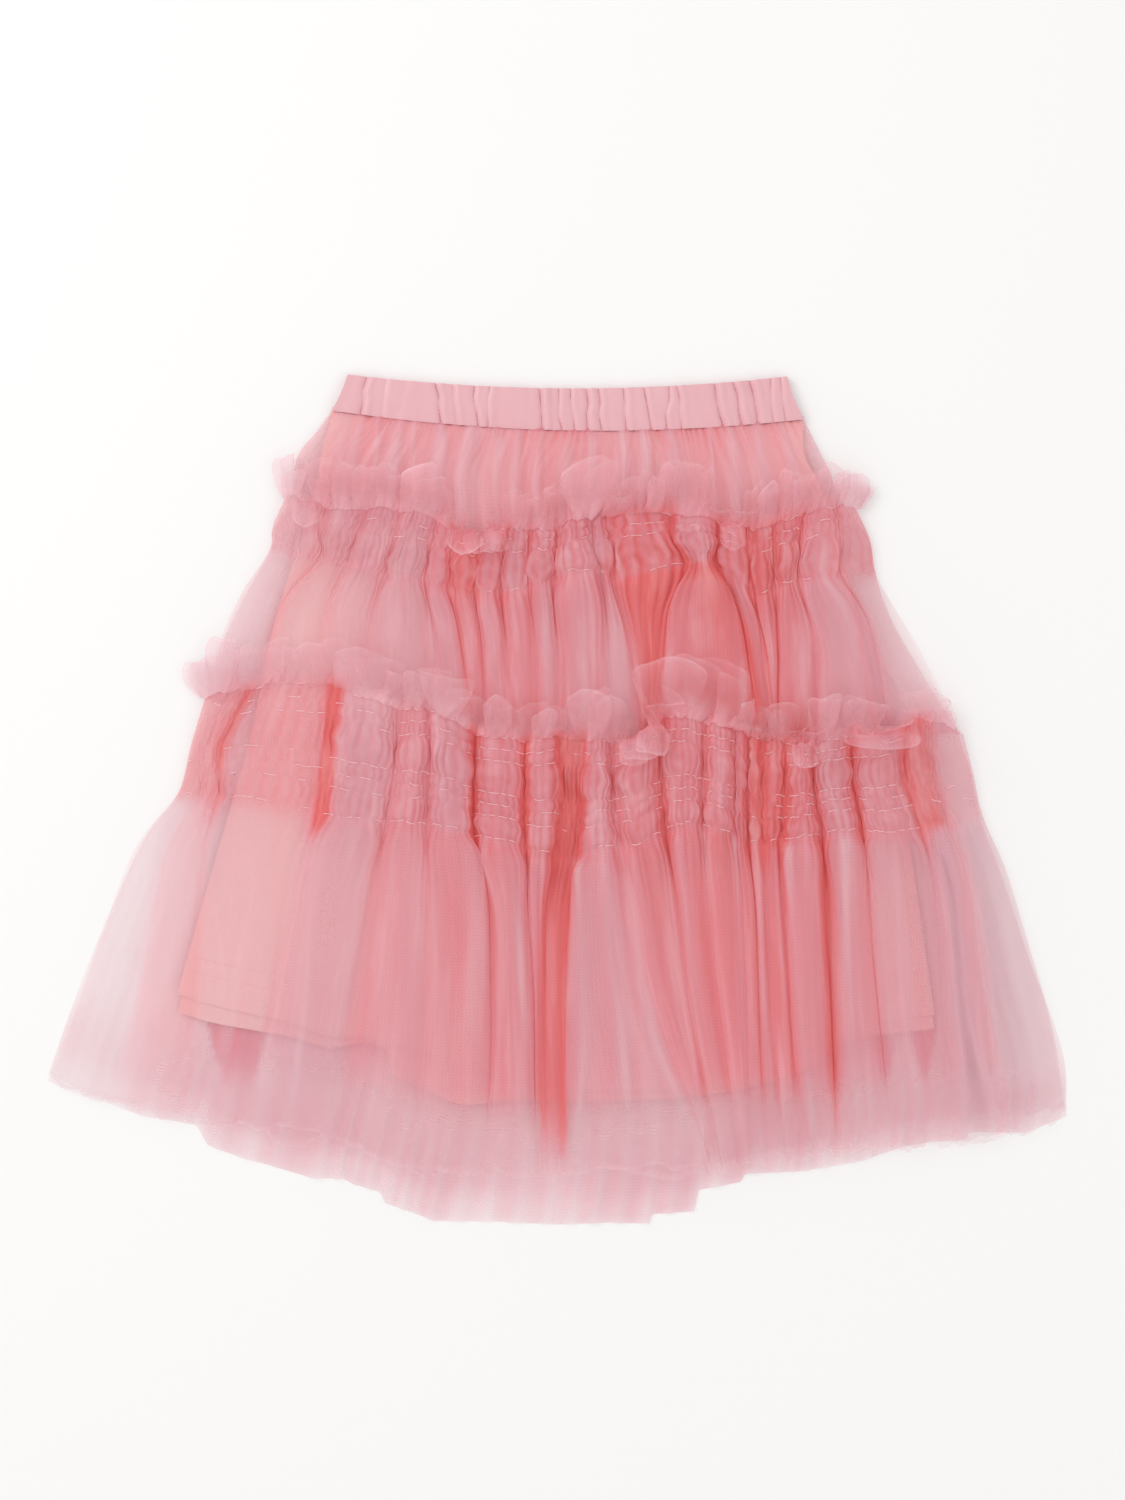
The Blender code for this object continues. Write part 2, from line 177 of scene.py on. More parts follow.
def netMaterial(name, look):
    # Nylon tulle: a soft hexagonal net of fine dull thread. One layer hardly hides what is under
    # it, and it turns from a cool pale pink to coral where layers and gathers crowd together; the
    # coral in grooves and on steep flanks and the mauve at the sides are painted shade, and its
    # pale edges a painted highlight.
    material, tree, shader = newMaterial(name)

    def spread(value, low, high, least, most):
        return addNode(tree, "MapRange", {"Value": value, "From Min": low, "From Max": high,
                                          "To Min": least, "To Max": most}, "Result")

    cover, depth, rimHighlight = [addNode(tree, "Attribute", {}, "Fac", attribute_name=mark)
                         for mark in ("cover", "depth", "rimHighlight")]
    flat = addNode(tree, "Mapping", {"Vector": addNode(tree, "TexCoord", {}, "UV"),
                                     "Scale": (*look["cut"], 1.0)}, "Vector")
    # holes of 1.6 mm, with their threads drawn a little wide so that they show
    hole = 0.0016
    net = addNode(tree, "TexVoronoi", {"Vector": flat, "Scale": 1.0 / hole, "Randomness": 0.6},
                  "Distance", feature="DISTANCE_TO_EDGE", voronoi_dimensions="2D")
    # hazy streaks down the cloth, where small folds lie over each other
    drawn = addNode(tree, "Mapping", {"Vector": flat,
                                      "Scale": (look["streaks"], look["slack"], 1.0)}, "Vector")
    streak = addNode(tree, "TexNoise", {"Vector": drawn, "Scale": 1.0, "Detail": 3.0,
                                        "Roughness": 0.52}, "Fac", noise_dimensions="2D")
    weave = addNode(tree, "Math", {0: spread(net, 0.05, 0.32, 1.06, 0.95),
                                   1: spread(streak, 0.3, 0.7, 0.86, 1.14)},
                    "Value", operation="MULTIPLY")
    solid = addNode(tree, "Math", {0: cover, 1: weave}, "Value", operation="MULTIPLY",
                    use_clamp=True)
    # the scale runs from a mauve painted shade through pale and middle pink to a deep coral that is
    # partly the thick net's own colour and partly painted shade
    tint = addNode(tree, "ValToRGB", {"Fac": depth}, "Color")
    ramp = tint.node.color_ramp.elements
    ramp[0].color, ramp[1].color = hexToLinear(look["shade"]), hexToLinear(look["deep"])
    for place, tone in ((shadeEnd, "pale"), (0.56, "middle")):
        ramp.new(place).color = hexToLinear(look[tone])
    # painted highlight: a raw or folded edge, and a small fold lying on top, is mixed towards a
    # pale colour where it would catch more light
    paintedHighlight = addNode(tree, "Math", {0: rimHighlight, 1: spread(streak, 0.5, 0.8, 0.0, 0.4)}, "Value",
                     operation="MAXIMUM")
    edged = addNode(tree, "Mix", {"Factor": paintedHighlight, "A": tint, "B": hexToLinear(look["rimHighlight"])},
                    "Result", data_type="RGBA")
    through = addNode(tree, "BsdfTranslucent", {"Color": edged}, "BSDF")
    cloth = addNode(tree, "MixShader", {0: look["through"], 1: shader.outputs["BSDF"], 2: through},
                    "Shader")
    clear = addNode(tree, "BsdfTransparent", {}, "BSDF")
    netted = addNode(tree, "MixShader", {0: solid, 1: clear, 2: cloth}, "Shader")
    setInputs(tree, shader, {"Base Color": edged, "Roughness": 0.85, "Specular IOR Level": 0.2})
    setInputs(tree, tree.nodes["Material Output"], {"Surface": netted})
    return material


def mottled(tree, place, look, **noise):
    # two tones of one colour, in soft blotches
    blotch = addNode(tree, "TexNoise", {"Vector": place, **noise}, "Fac")
    return addNode(tree, "Mix", {"Factor": blotch, "A": hexToLinear(look["pale"]),
                                 "B": hexToLinear(look["deep"])}, "Result", data_type="RGBA")


def satinMaterial(name, look):
    # Polyester satin: long warp floats give it a soft broad shine across the fine rib of its weave.
    material, tree, shader = newMaterial(name)
    place = addNode(tree, "TexCoord", {}, "Object")
    # a wave's bands lie 0.314 / scale apart: 1.8 mm, wider than real ribs so that they show
    rib = addNode(tree, "TexWave", {"Vector": place, "Scale": 176.84404, "Distortion": 0.4,
                                    "Detail": 1.0},
                  "Fac", wave_type="BANDS", bands_direction="Y")
    bump = addNode(tree, "Bump", {"Height": rib, "Strength": 0.12, "Distance": 0.0002}, "Normal")
    setInputs(tree, shader, {"Base Color": mottled(tree, place, look, Scale=35.0, Detail=4.0),
                             "Normal": bump, "Roughness": look["roughness"],
                             "Sheen Weight": 0.3, "Sheen Roughness": 0.4})
    return material


def threadMaterial(name, look):
    # Polyester sewing thread: pale, with a slight gloss on its twist.
    material, tree, shader = newMaterial(name)
    place = addNode(tree, "TexCoord", {}, "Object")
    setInputs(tree, shader, {"Base Color": mottled(tree, place, look, Scale=400.0),
                             "Roughness": 0.5})
    return material


tierTwo = {
    "seed": 11,
    # the grid
    "columns": 820,
    "bandRows": 56,
    "flounceRows": 58,
    # how far the hem is ragged, how many ridges each gather has, how much it is shaded at the
    # left and right side, and how much of its cover and warmth is left at the hem
    "ragged": 4.5,
    "ridges": 0.72,
    "shade": (0.6, 0.9),
    "hemCover": 0.22,
    "hemWarmth": 0.35,
    # shares of the cloth's length at which the valleys' places are given
    "stations": [0.0, 0.12, 0.24, 0.34, 0.56, 0.80, 1.0],
    "band": 0.24,
    "length": 345.0,
    # stitch rows, as shares of the band
    "stitchRows": [0.0, 0.115, 0.23, 0.55, 0.665, 0.78, 1.0],
    # how much of the thread shows on each fold
    "stitched": [0.3, 0.1, 0.35, 0.6, 0.8, 0.7, 1.0, 0.7, 0.15, 0.5, 1.0, 1.0, 1.0, 0.2, 0.6, 0.7,
                 0.9, 1.0, 0.8, 0.2, 0.4],
    # underside in the middle at the stations, and how little of it is left at the side seams
    "middle": [18.0, 19.0, 18.0, 20.0, 19.0, 15.0, 9.0],
    "edge": [4.5, 2.0, 1.5, 1.5, 1.5, 1.5, 1.5],
    # valleys between the folds: x at the stations, then y at the first and last stitch row and the
    # hem, then height above the others in the band, the flounce and at the hem, then how strong the
    # painted groove shade and its extra cover are in the band and in the flounce, which is wider
    # for more than 1
    "valleys": [
        (-266, -277, -287, -311, -339, -363, -384, 75, 3, -214, 0, 0, 0, 0.0, 0.0),
        (-247, -264, -271, -287, -304, -317, -330, 81, 3, -230, 1, 1, 1, 0.1, 0.15),
        (-231, -252, -256, -264, -270, -276, -285, 82, 1, -239, -1, 2, 1, 0.9, 0.25),
        (-167, -171, -177, -189, -202, -217, -231, 85, -9, -246, -2, 2, 1, 1.8, 0.10),
        (-118, -122, -129, -136, -147, -159, -169, 66, -18, -257, 5, 2, 0, 0.10, 0.15),
        (-96, -96, -97, -97, -99, -103, -107, 66, -19, -279, 6, 15, 5, 0.10, 0.05),
        (-63, -63, -63, -55, -51, -51, -54, 48, -27, -282, -3, 1, 1, 1.7, 0.13),
        (-24, -25, -24, -22, -19, -18, -16, 43, -36, -280, 1, 3, 1, 1.3, 0.15),
        (2, 3, -1, -7, -9, -9, -7, 46, -42, -281, -2, -2, 0, 1.2, 0.65),
        (18, 18, 15, 10, 5, 4, 5, 43, -42, -282, -3, -3, 0, 0.9, 1.0),
        (41, 41, 47, 54, 68, 92, 112, 41, -36, -272, 4, 11, 4, 0.2, 0.03),
        (78, 78, 81, 86, 94, 108, 124, 58, -24, -273, 1, 4, 1, 0.5, 0.2),
        (109, 109, 109, 111, 117, 127, 137, 58, -18, -273, 7, 6, 1, 0.12, 0.15),
        (133, 133, 133, 137, 140, 143, 148, 52, -26, -273, 6, 5, 1, 0.2, 0.25),
        (143, 142, 143, 146, 150, 153, 158, 48, -30, -273, 0, 3, 0, 0.6, 0.25),
        (153, 152, 153, 156, 160, 165, 170, 43, -34, -271, 0, 1, 0, 1.3, 0.4),
        (171, 171, 169, 168, 172, 178, 187, 43, -29, -269, 1, 2, 0, 0.8, 0.26),
        (191, 192, 198, 201, 204, 207, 210, 41, -26, -266, 3, 0, 0, 0.5, 0.7),
        (221, 222, 229, 233, 237, 245, 253, 46, -24, -262, -2, 1, 0, 1.4, 0.2),
        (261, 261, 273, 281, 290, 298, 306, 54, -22, -260, 1, 1, 0, 0.9, 0.2),
        (279, 284, 294, 306, 318, 328, 343, 58, -19, -254, 1, 1, 0, 0.1, 0.25),
        (306, 314, 321, 334, 355, 375, 384, 48, -13, -237, 0, 0, 0, 0.0, 0.0),
    ],
    # folds: height in the band, at the top, low in the flounce and at the hem; squareness; lean to
    # the left and right; cover and warmth in the band, then in the flounce, the warmth being partly
    # the net's own colour and partly painted shade; gathers
    "folds": [
        (4, 4, 5, 3, 2.0, 0.10, 0.20, 0.50, 0.50, 0.13, 0.02, 4),
        (7, 5, 5, 4, 2.0, 0.20, 0.30, 0.56, 0.50, 0.32, 0.40, 4),
        (5, 6, 5, 4, 4.0, 0.25, 0.10, 0.54, 0.34, 0.33, 0.02, 7),
        (11, 10, 9, 6, 2.2, 0.20, 0.30, 0.75, 0.02, 0.56, 0.02, 7),
        (9, 6, 6, 5, 2.5, 0.20, 0.20, 0.78, 0.27, 0.64, 0.25, 5),
        (14, 8, 8, 6, 2.5, 0.30, 0.50, 0.78, 0.09, 0.66, 0.34, 5),
        (13, 12, 10, 6, 2.5, 0.35, 0.35, 0.80, 0.34, 0.74, 0.43, 6),
        (10, 7, 4, 2, 2.2, 0.35, 0.30, 0.80, 0.39, 0.78, 0.18, 4),
        (1, 1, 1, 1, 2.0, 0.00, 0.00, 0.85, 0.97, 0.85, 1.00, 3),
        (12, 12, 9, 5, 2.8, 0.45, 0.05, 0.80, 0.16, 0.72, 0.19, 5),
        (11, 5, 4, 3, 3.0, 0.15, 0.20, 0.80, 0.43, 0.72, 0.51, 7),
        (11, 8, 5, 3, 2.5, 0.30, 0.15, 0.80, 0.41, 0.74, 0.47, 6),
        (12, 8, 5, 3, 2.5, 0.20, 0.15, 0.80, 0.40, 0.74, 0.66, 5),
        (12, 11, 7, 3, 2.0, 0.40, 0.30, 0.75, 0.10, 0.70, 0.04, 2),
        (8, 5, 3, 2, 2.0, 0.25, 0.20, 0.80, 0.42, 0.80, 0.70, 2),
        (3, 5, 4, 3, 2.0, 0.20, 0.15, 0.82, 0.71, 0.76, 0.26, 3),
        (13, 14, 11, 6, 2.6, 0.40, 0.30, 0.80, 0.47, 0.74, 0.41, 6),
        (12, 13, 10, 6, 2.6, 0.35, 0.35, 0.78, 0.26, 0.66, 0.31, 6),
        (12, 11, 8, 6, 2.8, 0.40, 0.25, 0.76, 0.30, 0.56, 0.26, 8),
        (5, 6, 6, 5, 2.5, 0.20, 0.20, 0.76, 0.90, 0.68, 0.10, 4),
        (4, 4, 4, 3, 2.0, 0.20, 0.10, 0.44, 0.14, 0.28, 0.04, 5),
    ],
    # creases down the flounce: x below the band, half way and at the hem, strength (a ridge above
    # 0, a trough below) and half width
    "creases": [
        (-290, -318, -352, 0.7, 5), (-282, -300, -318, 0.6, 6), (-262, -277, -296, -0.35, 4),
        (-266, -251, -250, 0.8, 5), (-243, -238, -243, -0.6, 5), (-226, -221, -228, 0.7, 6),
        (-208, -211, -231, -0.7, 4), (-184, -189, -202, 0.9, 5), (-152, -164, -178, 0.9, 7),
        (-134, -145, -168, -0.6, 5), (-108, -106, -110, 0.8, 6), (-82, -74, -74, -0.7, 6),
        (-63, -52, -48, 0.8, 5), (-49, -42, -39, -0.4, 4), (-31, -26, -24, 1.0, 4),
        (14, 19, 12, 1.2, 4), (27, 37, 29, -0.6, 5), (33, 47, 60, 0.9, 5), (42, 62, 56, -0.7, 4),
        (55, 69, 112, 1.0, 5), (62, 84, 84, -0.6, 4), (88, 100, 110, 0.8, 4),
        (98, 112, 108, -0.6, 4), (108, 126, 144, 1.2, 4), (132, 140, 143, 1.0, 3),
        (141, 148, 159, -0.7, 4), (152, 158, 168, 0.9, 4), (164, 170, 184, -1.0, 4),
        (172, 182, 196, 1.1, 5), (197, 206, 213, -1.1, 5), (214, 220, 230, 1.1, 5),
        (238, 247, 263, 0.9, 5), (231, 240, 256, -0.5, 4), (254, 263, 275, 0.7, 5),
        (258, 273, 288, -0.6, 4), (288, 303, 322, 0.7, 5), (300, 316, 334, -0.6, 4),
        (312, 335, 358, 0.7, 6),
    ],
}

tierOne = {
    "seed": 31,
    "columns": 700,
    "bandRows": 34,
    "flounceRows": 36,
    "ragged": 0.0,
    "ridges": 0.58,
    "shade": (0.25, 0.9),
    "hemCover": 0.85,
    "hemWarmth": 1.5,
    "stations": [0.0, 0.16, 0.32, 0.52, 0.76, 1.0],
    "band": 0.32,
    "length": 170.0,
    "stitchRows": [0.0, 0.19, 0.38, 1.0],
    "stitched": [0.2, 0.2, 0.2, 0.3, 0.2, 0.3, 0.7, 0.8, 0.8, 0.7, 0.3, 0.3, 0.8, 0.2, 0.5, 0.6,
                 0.6, 0.5, 0.2],
    "middle": [16.8, 18.0, 17.0, 18.0, 16.0, 13.5],
    "edge": [4.8, 2.0, 1.5, 2.0, 3.0, 3.0],
    "valleys": [
        (-205, -214, -217, -238, -255, -265, 227, 190, 75, 0, 0, 0, 0.0, 0.0),
        (-193, -198, -201, -222, -238, -247, 225, 183, 80, 1, 1, 0, 0.1, 0.1),
        (-174, -178, -180, -204, -217, -222, 219, 182, 82, 0, 0, 0, 0.2, 0.35),
        (-144, -152, -159, -172, -177, -178, 218, 177, 84, 1, 2, 0, 0.15, 0.15),
        (-118, -125, -131, -139, -144, -147, 216, 168, 82, 1, 1, 0, 0.2, 0.2),
        (-90, -95, -99, -94, -91, -90, 208, 164, 63, 0, 3, 0, 0.25, 0.1),
        (-77, -81, -82, -75, -69, -66, 202, 159, 58, 0, 0, 0, 0.3, 0.35),
        (-58, -60, -62, -58, -55, -54, 200, 156, 45, 0, 1, 0, 0.4, 0.22),
        (-39, -42, -43, -39, -36, -34, 201, 155, 43, 0, 1, 0, 0.4, 0.22),
        (-21, -22, -22, -18, -15, -13, 201, 159, 45, 0, 1, 0, 0.4, 0.22),
        (0, -2, -3, -1, 2, 3, 202, 165, 46, 0, 0, 0, 0.3, 0.2),
        (26, 27, 32, 38, 41, 42, 210, 171, 42, 3, 2, 0, 0.08, 0.15),
        (36, 41, 41, 51, 60, 66, 213, 167, 46, 1, 2, 1, 0.40, 0.25),
        (86, 86, 96, 83, 77, 73, 213, 176, 58, -1, 2, 1, 0.8, 0.45),
        (119, 120, 118, 135, 144, 150, 208, 178, 52, -1, 1, 0, 0.9, 1.4),
        (142, 144, 146, 154, 158, 161, 204, 156, 43, 0, 0, 0, 0.5, 0.5),
        (161, 162, 164, 165, 165, 166, 205, 159, 43, 0, 0, 0, 0.4, 0.5),
        (184, 182, 181, 191, 194, 195, 214, 165, 41, 0, 0, 0, 0.4, 0.35),
        (210, 212, 213, 233, 244, 251, 221, 170, 50, 0, 1, 0, 0.25, 0.3),
        (225, 236, 240, 252, 276, 305, 219, 171, 49, 0, 0, 0, 0.0, 0.0),
    ],
    "folds": [
        (3, 3, 4, 2, 2.0, 0.10, 0.20, 0.50, 0.26, 0.22, 0.13, 5),
        (4, 4, 4, 2, 2.0, 0.20, 0.25, 0.60, 0.07, 0.28, 0.10, 6),
        (5, 6, 5, 3, 3.0, 0.30, 0.20, 0.68, 0.06, 0.34, 0.04, 8),
        (5, 5, 4, 3, 2.6, 0.20, 0.20, 0.74, 0.10, 0.44, 0.02, 7),
        (6, 7, 5, 3, 2.8, 0.25, 0.20, 0.67, 0.02, 0.58, 0.02, 8),
        (5, 6, 5, 3, 2.2, 0.35, 0.35, 0.76, 0.20, 0.66, 0.14, 3),
        (5, 3, 3, 2, 2.2, 0.25, 0.30, 0.78, 0.78, 0.70, 0.57, 4),
        (6, 4, 3, 2, 2.2, 0.30, 0.25, 0.78, 0.29, 0.72, 0.27, 4),
        (6, 4, 3, 2, 2.2, 0.25, 0.30, 0.78, 0.15, 0.72, 0.45, 4),
        (7, 4, 3, 2, 2.2, 0.30, 0.25, 0.78, 0.27, 0.72, 0.19, 5),
        (8, 9, 6, 4, 2.6, 0.35, 0.18, 0.80, 0.35, 0.74, 0.32, 7),
        (3, 5, 4, 3, 2.0, 0.15, 0.15, 0.74, 0.02, 0.62, 0.02, 4),
        (2, 1, 2, 1, 2.5, 0.10, 0.10, 0.84, 0.63, 0.84, 0.88, 5),
        (10, 14, 13, 5, 3.0, 0.42, 0.42, 0.82, 0.27, 0.79, 0.64, 9),
        (5, 4, 3, 2, 2.2, 0.20, 0.25, 0.82, 0.46, 0.80, 0.46, 4),
        (4, 4, 3, 2, 2.0, 0.30, 0.30, 0.82, 0.73, 0.78, 0.59, 4),
        (7, 7, 6, 3, 2.6, 0.30, 0.25, 0.80, 0.59, 0.74, 0.54, 6),
        (6, 10, 7, 3, 2.8, 0.30, 0.40, 0.78, 0.34, 0.70, 0.19, 6),
        (4, 4, 4, 2, 2.0, 0.20, 0.10, 0.62, 0.38, 0.26, 0.30, 4),
    ],
    "creases": [
        (-213, -226, -238, 0.5, 5), (-232, -246, -256, -0.3, 4), (-193, -206, -198, 0.6, 6),
        (-200, -214, -229, -0.5, 4), (-166, -173, -172, -0.5, 4), (-144, -151, -148, 0.6, 6),
        (-114, -127, -128, -0.4, 5), (-108, -107, -112, 0.7, 4), (-100, -99, -101, -0.6, 3),
        (-82, -79, -77, 0.6, 5), (-77, -71, -66, -0.5, 3), (-66, -62, -59, 0.5, 4),
        (-39, -39, -39, -0.5, 4), (-27, -30, -38, 0.6, 5), (-18, -21, -20, -0.6, 4),
        (-7, -8, -11, 0.7, 4), (5, 5, 4, -0.6, 4), (13, 18, 16, 0.7, 5), (29, 33, 38, -0.5, 4),
        (37, 41, 46, 0.8, 4), (69, 71, 70, -0.7, 5), (86, 83, 82, 0.8, 5), (110, 124, 130, -0.9, 8),
        (121, 125, 127, 0.5, 4), (128, 131, 136, -0.5, 4), (136, 140, 139, 0.5, 4),
        (154, 155, 155, 0.4, 4), (170, 168, 169, 0.7, 5), (174, 176, 181, -0.6, 4),
        (188, 192, 196, 0.7, 4), (195, 201, 207, -0.5, 4), (212, 222, 230, 0.5, 5),
        (222, 232, 240, -0.7, 4), (250, 262, 276, 0.5, 5),
    ],
}


def clothPlaces(tier, columns):
    # shares the columns out among the folds by how much cloth each takes, and says for each
    # column which fold it is in and how far across that
    folds = np.array(tier["folds"], float)
    # the valleys' places at the third station, which is the foot of the shirred band
    places = np.array([valley[2] for valley in tier["valleys"]], float)
    edges = np.append(0.0, np.cumsum(np.diff(places) + 1.6 * folds[:, 1]))
    edges = edges / edges[-1]
    share = np.linspace(0.0, 1.0, columns)
    fold = np.clip(np.searchsorted(edges, share, side="right") - 1, 0, len(folds) - 1)
    return fold, (share - edges[fold]) / (edges[fold + 1] - edges[fold])


def betweenStitches(tier, down):
    # 1 at a stitch row, falling to 0 between them, and how far the cloth swells there, more
    # where the rows are further apart
    rows = np.array(tier["stitchRows"]) * tier["band"]
    gap = np.min(np.abs(down - rows), axis=1, keepdims=True) * tier["length"]
    upper = np.clip(np.searchsorted(rows, down, side="right") - 1, 0, len(rows) - 2)
    apart = rows[upper + 1] - rows[upper]
    share = np.clip((down - rows[upper]) / apart, 0.0, 1.0)
    swell = np.sin(np.pi * share) ** 0.8 * np.minimum(apart * tier["length"] / 25.0, 1.0)
    return bell(gap, 2.2), swell


def shapeTier(tier, fold, phase, down, layer=0):
    # the tier's cloth at these columns and shares of its length
    stations, band, length = tier["stations"], tier["band"], tier["length"]
    count, seed = len(stations), tier["seed"] + 4 * layer
    valleys, folds = np.array(tier["valleys"], float), np.array(tier["folds"], float)

    def downEach(knots, rows):
        return np.array([np.interp(down, knots, row) for row in rows]).T

    valleyX = flow(stations, valleys[:, :count].T, down)
    valleyY = downEach([0.0, band, 1.0], valleys[:, count:count + 3])
    lift = downEach([0.0, band * 0.9, band + 0.08, 1.0], valleys[:, count + np.array([3, 3, 4, 5])])
    groove = valleys[:, count + np.array([6, 6, 7, 7, 7])] * (1.0, 1.0, 1.0, 1.0, 0.3)
    groove = downEach([0.0, band, band + 0.08, 0.85, 1.0], groove)
    height = downEach([0.0, band, band + 0.12, 0.8, 1.0], folds[:, [0, 0, 1, 2, 3]])

    # from here on a row for each line of points down the cloth, a column for each across it
    down = down[:, None]
    s = 2.0 * phase - 1.0
    left, right = valleyX[:, fold], valleyX[:, fold + 1]
    width = right - left
    # y runs smoothly from valley to valley
    y = flow(np.arange(len(valleys)), valleyY.T, fold + phase).T
    pinch, puff = betweenStitches(tier, down)
    below = np.clip(down - band, 0.0, 1.0) * length
    inFlounce = smooth(band - 0.005, band + 0.03, down)
    inBand = 1.0 - inFlounce

    # each fold leans over its valleys, puffs out between the stitches and has a shoulder below
    leaning = np.where(s > 0, folds[fold, 6], folds[fold, 5])
    uneven = 1.0 + 0.6 * rumple(fold * 2.3 + (s > 0) * 0.9, down / band * 5.0, seed + 19)
    puffed = (3.2 * puff * uneven - 0.8) / np.maximum(0.5 * width, 6.0)
    lean = mix(np.clip(0.5 * leaning + puffed, 0.0, 0.5), leaning, smooth(0.0, 35.0, below))
    shoulder = bell(below - 13.0, 11.0) * inFlounce
    lean = lean * mix(1.0, 0.6, smooth(10.0, 60.0, below)) * (1.0 + 0.7 * shoulder)
    lean = lean * mix(1.0, 0.5, smooth(0.85, 1.0, down))
    crisp = np.clip((leaning - 0.25) / 0.2, 0.0, 1.0) * mix(1.0, 0.35, smooth(25.0, 90.0, below))
    bump = np.clip(1.0 - np.abs(s) ** folds[fold, 4], 0.0, 1.0) ** mix(1.9, 0.95, crisp)
    x = left + width * (phase + 0.5 * lean * np.sin(np.pi * s))
    if layer:
        # the inner layer is slacker and keeps its own folds
        x = left + width * phase
        bump = bump * (0.55 + 0.35 * rumple(fold * 1.3 + phase, down * 1.6, seed + 20))
    high = height[:, fold] * mix(1.0, 0.72, smooth(0.0, 40.0, below))
    high = np.minimum(high, mix(0.55, 0.36, inFlounce) * width)
    swell = mix(0.72 + 0.18 * puff - 0.05 * pinch, 1.0, inFlounce)
    swell = swell * (1.0 - 0.3 * bell(below, 7.0) * inFlounce + 0.22 * shoulder)
    bow = 2.2 * wander(fold * 1.9, seed + 14) + 1.2
    y = y + bow * (1.0 - s ** 2) * (1.0 - smooth(0.0, 0.5, below / 60.0))
    y = y + 1.6 * wander(fold * 3.7 + 5.0 * phase, seed + 15) * inBand

    across = (x - valleyX[:, :1]) / (valleyX[:, -1:] - valleyX[:, :1])
    dome = domeOf(np.clip(across, 0.0, 1.0))
    ground = mix(flow(stations, tier["edge"], down), flow(stations, tier["middle"], down), dome)
    valleyLift = mix(lift[:, fold], lift[:, fold + 1], eased(phase))
    z = ground + dome * (valleyLift + high * bump * swell) - 1.6 * layer * dome

    # fine gathers: tight at the stitches, where they break and start afresh, opening out below
    often = folds[:, 11] * (1.9, 1.5)[layer]
    turn = (np.cumsum(often) - often)[fold] + often[fold] * phase + 7.0 * layer
    part = np.searchsorted(np.array(tier["stitchRows"][1:-1]) * band, down) * 5.3
    tightly = turn * tier["ridges"]
    size = 0.7 + 0.5 * rumple(tightly * 0.9, part, seed + 1)
    slack = 0.42 * rumple(tightly * 0.8, part + 1.7 * down, seed + 2)
    ridge = np.abs(np.sin(np.pi * (tightly + slack))) ** 0.9
    loose = np.abs(np.sin(np.pi * (0.5 * turn + 0.4 * wander(turn * 0.5, seed + 9))))
    tight = mix(1.4 + 1.8 * puff, 2.6 * np.exp(-below / 22.0), inFlounce)
    z = z + dome * tight * size * (ridge - 0.5)
    # small crinkles lie across the puffs between the stitch rows
    far = down * length
    crinkle = rumple(turn * 0.62, far / 6.5 + 0.8 * wander(turn * 0.3, seed + 31), seed + 30)
    crinkle = crinkle + 0.35 * rumple(turn * 1.1, far / 4.5, seed + 32)
    crinkle = crinkle * (1.0 - 0.6 * pinch) * (1.0 - smooth(-2.0, 10.0, below) * inFlounce)
    z = z + dome * (0.55 * crinkle + 1.5 * inFlounce * bell(below - 16.0, 30.0) * (loose - 0.5))
    y = y + dome * inBand * pinch * 0.6 * wander(turn * 1.3, seed + 3)
    x = x + dome * inBand * (puff * 1.2 * rumple(turn * 0.6, part, seed + 10)
                             + (1.0 - pinch) * rumple(turn * 0.35, far / 8.0, seed + 33))

    # softer streaks down the flounce, and small pleats at its raw hem
    flounce = smooth(8.0, 60.0, below)
    streak = rumple(turn * 0.26, down * 2.2, seed + 4) * flounce
    fine = rumple(turn * 0.9, down * 3.0, seed + 5) * flounce
    z = z + dome * (1.3 * streak + 0.25 * fine)
    x = x + flounce * 1.6 * rumple(turn * 0.25, down * 3.0, seed + 6)
    hem = smooth(0.86, 1.0, down)
    z = z + dome * hem * 0.9 * wander(turn * 2.1, seed + 7)
    steps = wander(np.round(turn * 0.45) * 1.37, seed + 8) + 0.4 * wander(turn * 0.8, seed + 11)
    y = y + hem ** 2 * tier["ragged"] * steps
    if layer:
        y = y + hem * tier["ragged"] * 2.4 * wander(across * 8.0, seed + 16)

    # the main creases
    laid, sunk = np.zeros(x.shape), np.zeros(x.shape)
    for top, half, hemward, amount, spread in tier["creases"]:
        run = flow([band, mix(band, 1.0, 0.55), 1.0], [top, half, hemward], np.maximum(down, band))
        run = run + 1.2 * wander(down * 6.0 + top, seed + 12)
        hump = bell(x - run, 1.25 * spread) * abs(amount)
        hump = hump * (0.75 + 0.35 * wander(down * 4.0 + top * 3.0, seed + 13))
        crease = laid if amount > 0 else sunk
        np.maximum(crease, hump, out=crease)
    opened = inFlounce * (1.0, 0.4)[layer]
    z = z + dome * opened * (1.5 * laid - 0.8 * sunk)

    # where it is gathered thick, and painted shade where the eye looks down into a groove, which is
    # wider for a value above 1
    fromLeft, fromRight = phase * width, (1.0 - phase) * width
    reach = mix(6.5, 7.0, inFlounce)
    grooved = np.minimum(np.maximum(groove[:, fold] * bell(fromLeft, reach),
                                    groove[:, fold + 1] * bell(fromRight, reach)), 1.0)

    def softly(column):
        # a fold's own value, running into its neighbours' over the last few millimetres
        own = folds[fold, column]
        before = folds[np.maximum(fold - 1, 0), column] - own
        after = folds[np.minimum(fold + 1, len(folds) - 1), column] - own
        return own + 0.5 * (before * bell(fromLeft, 6.0) + after * bell(fromRight, 6.0))

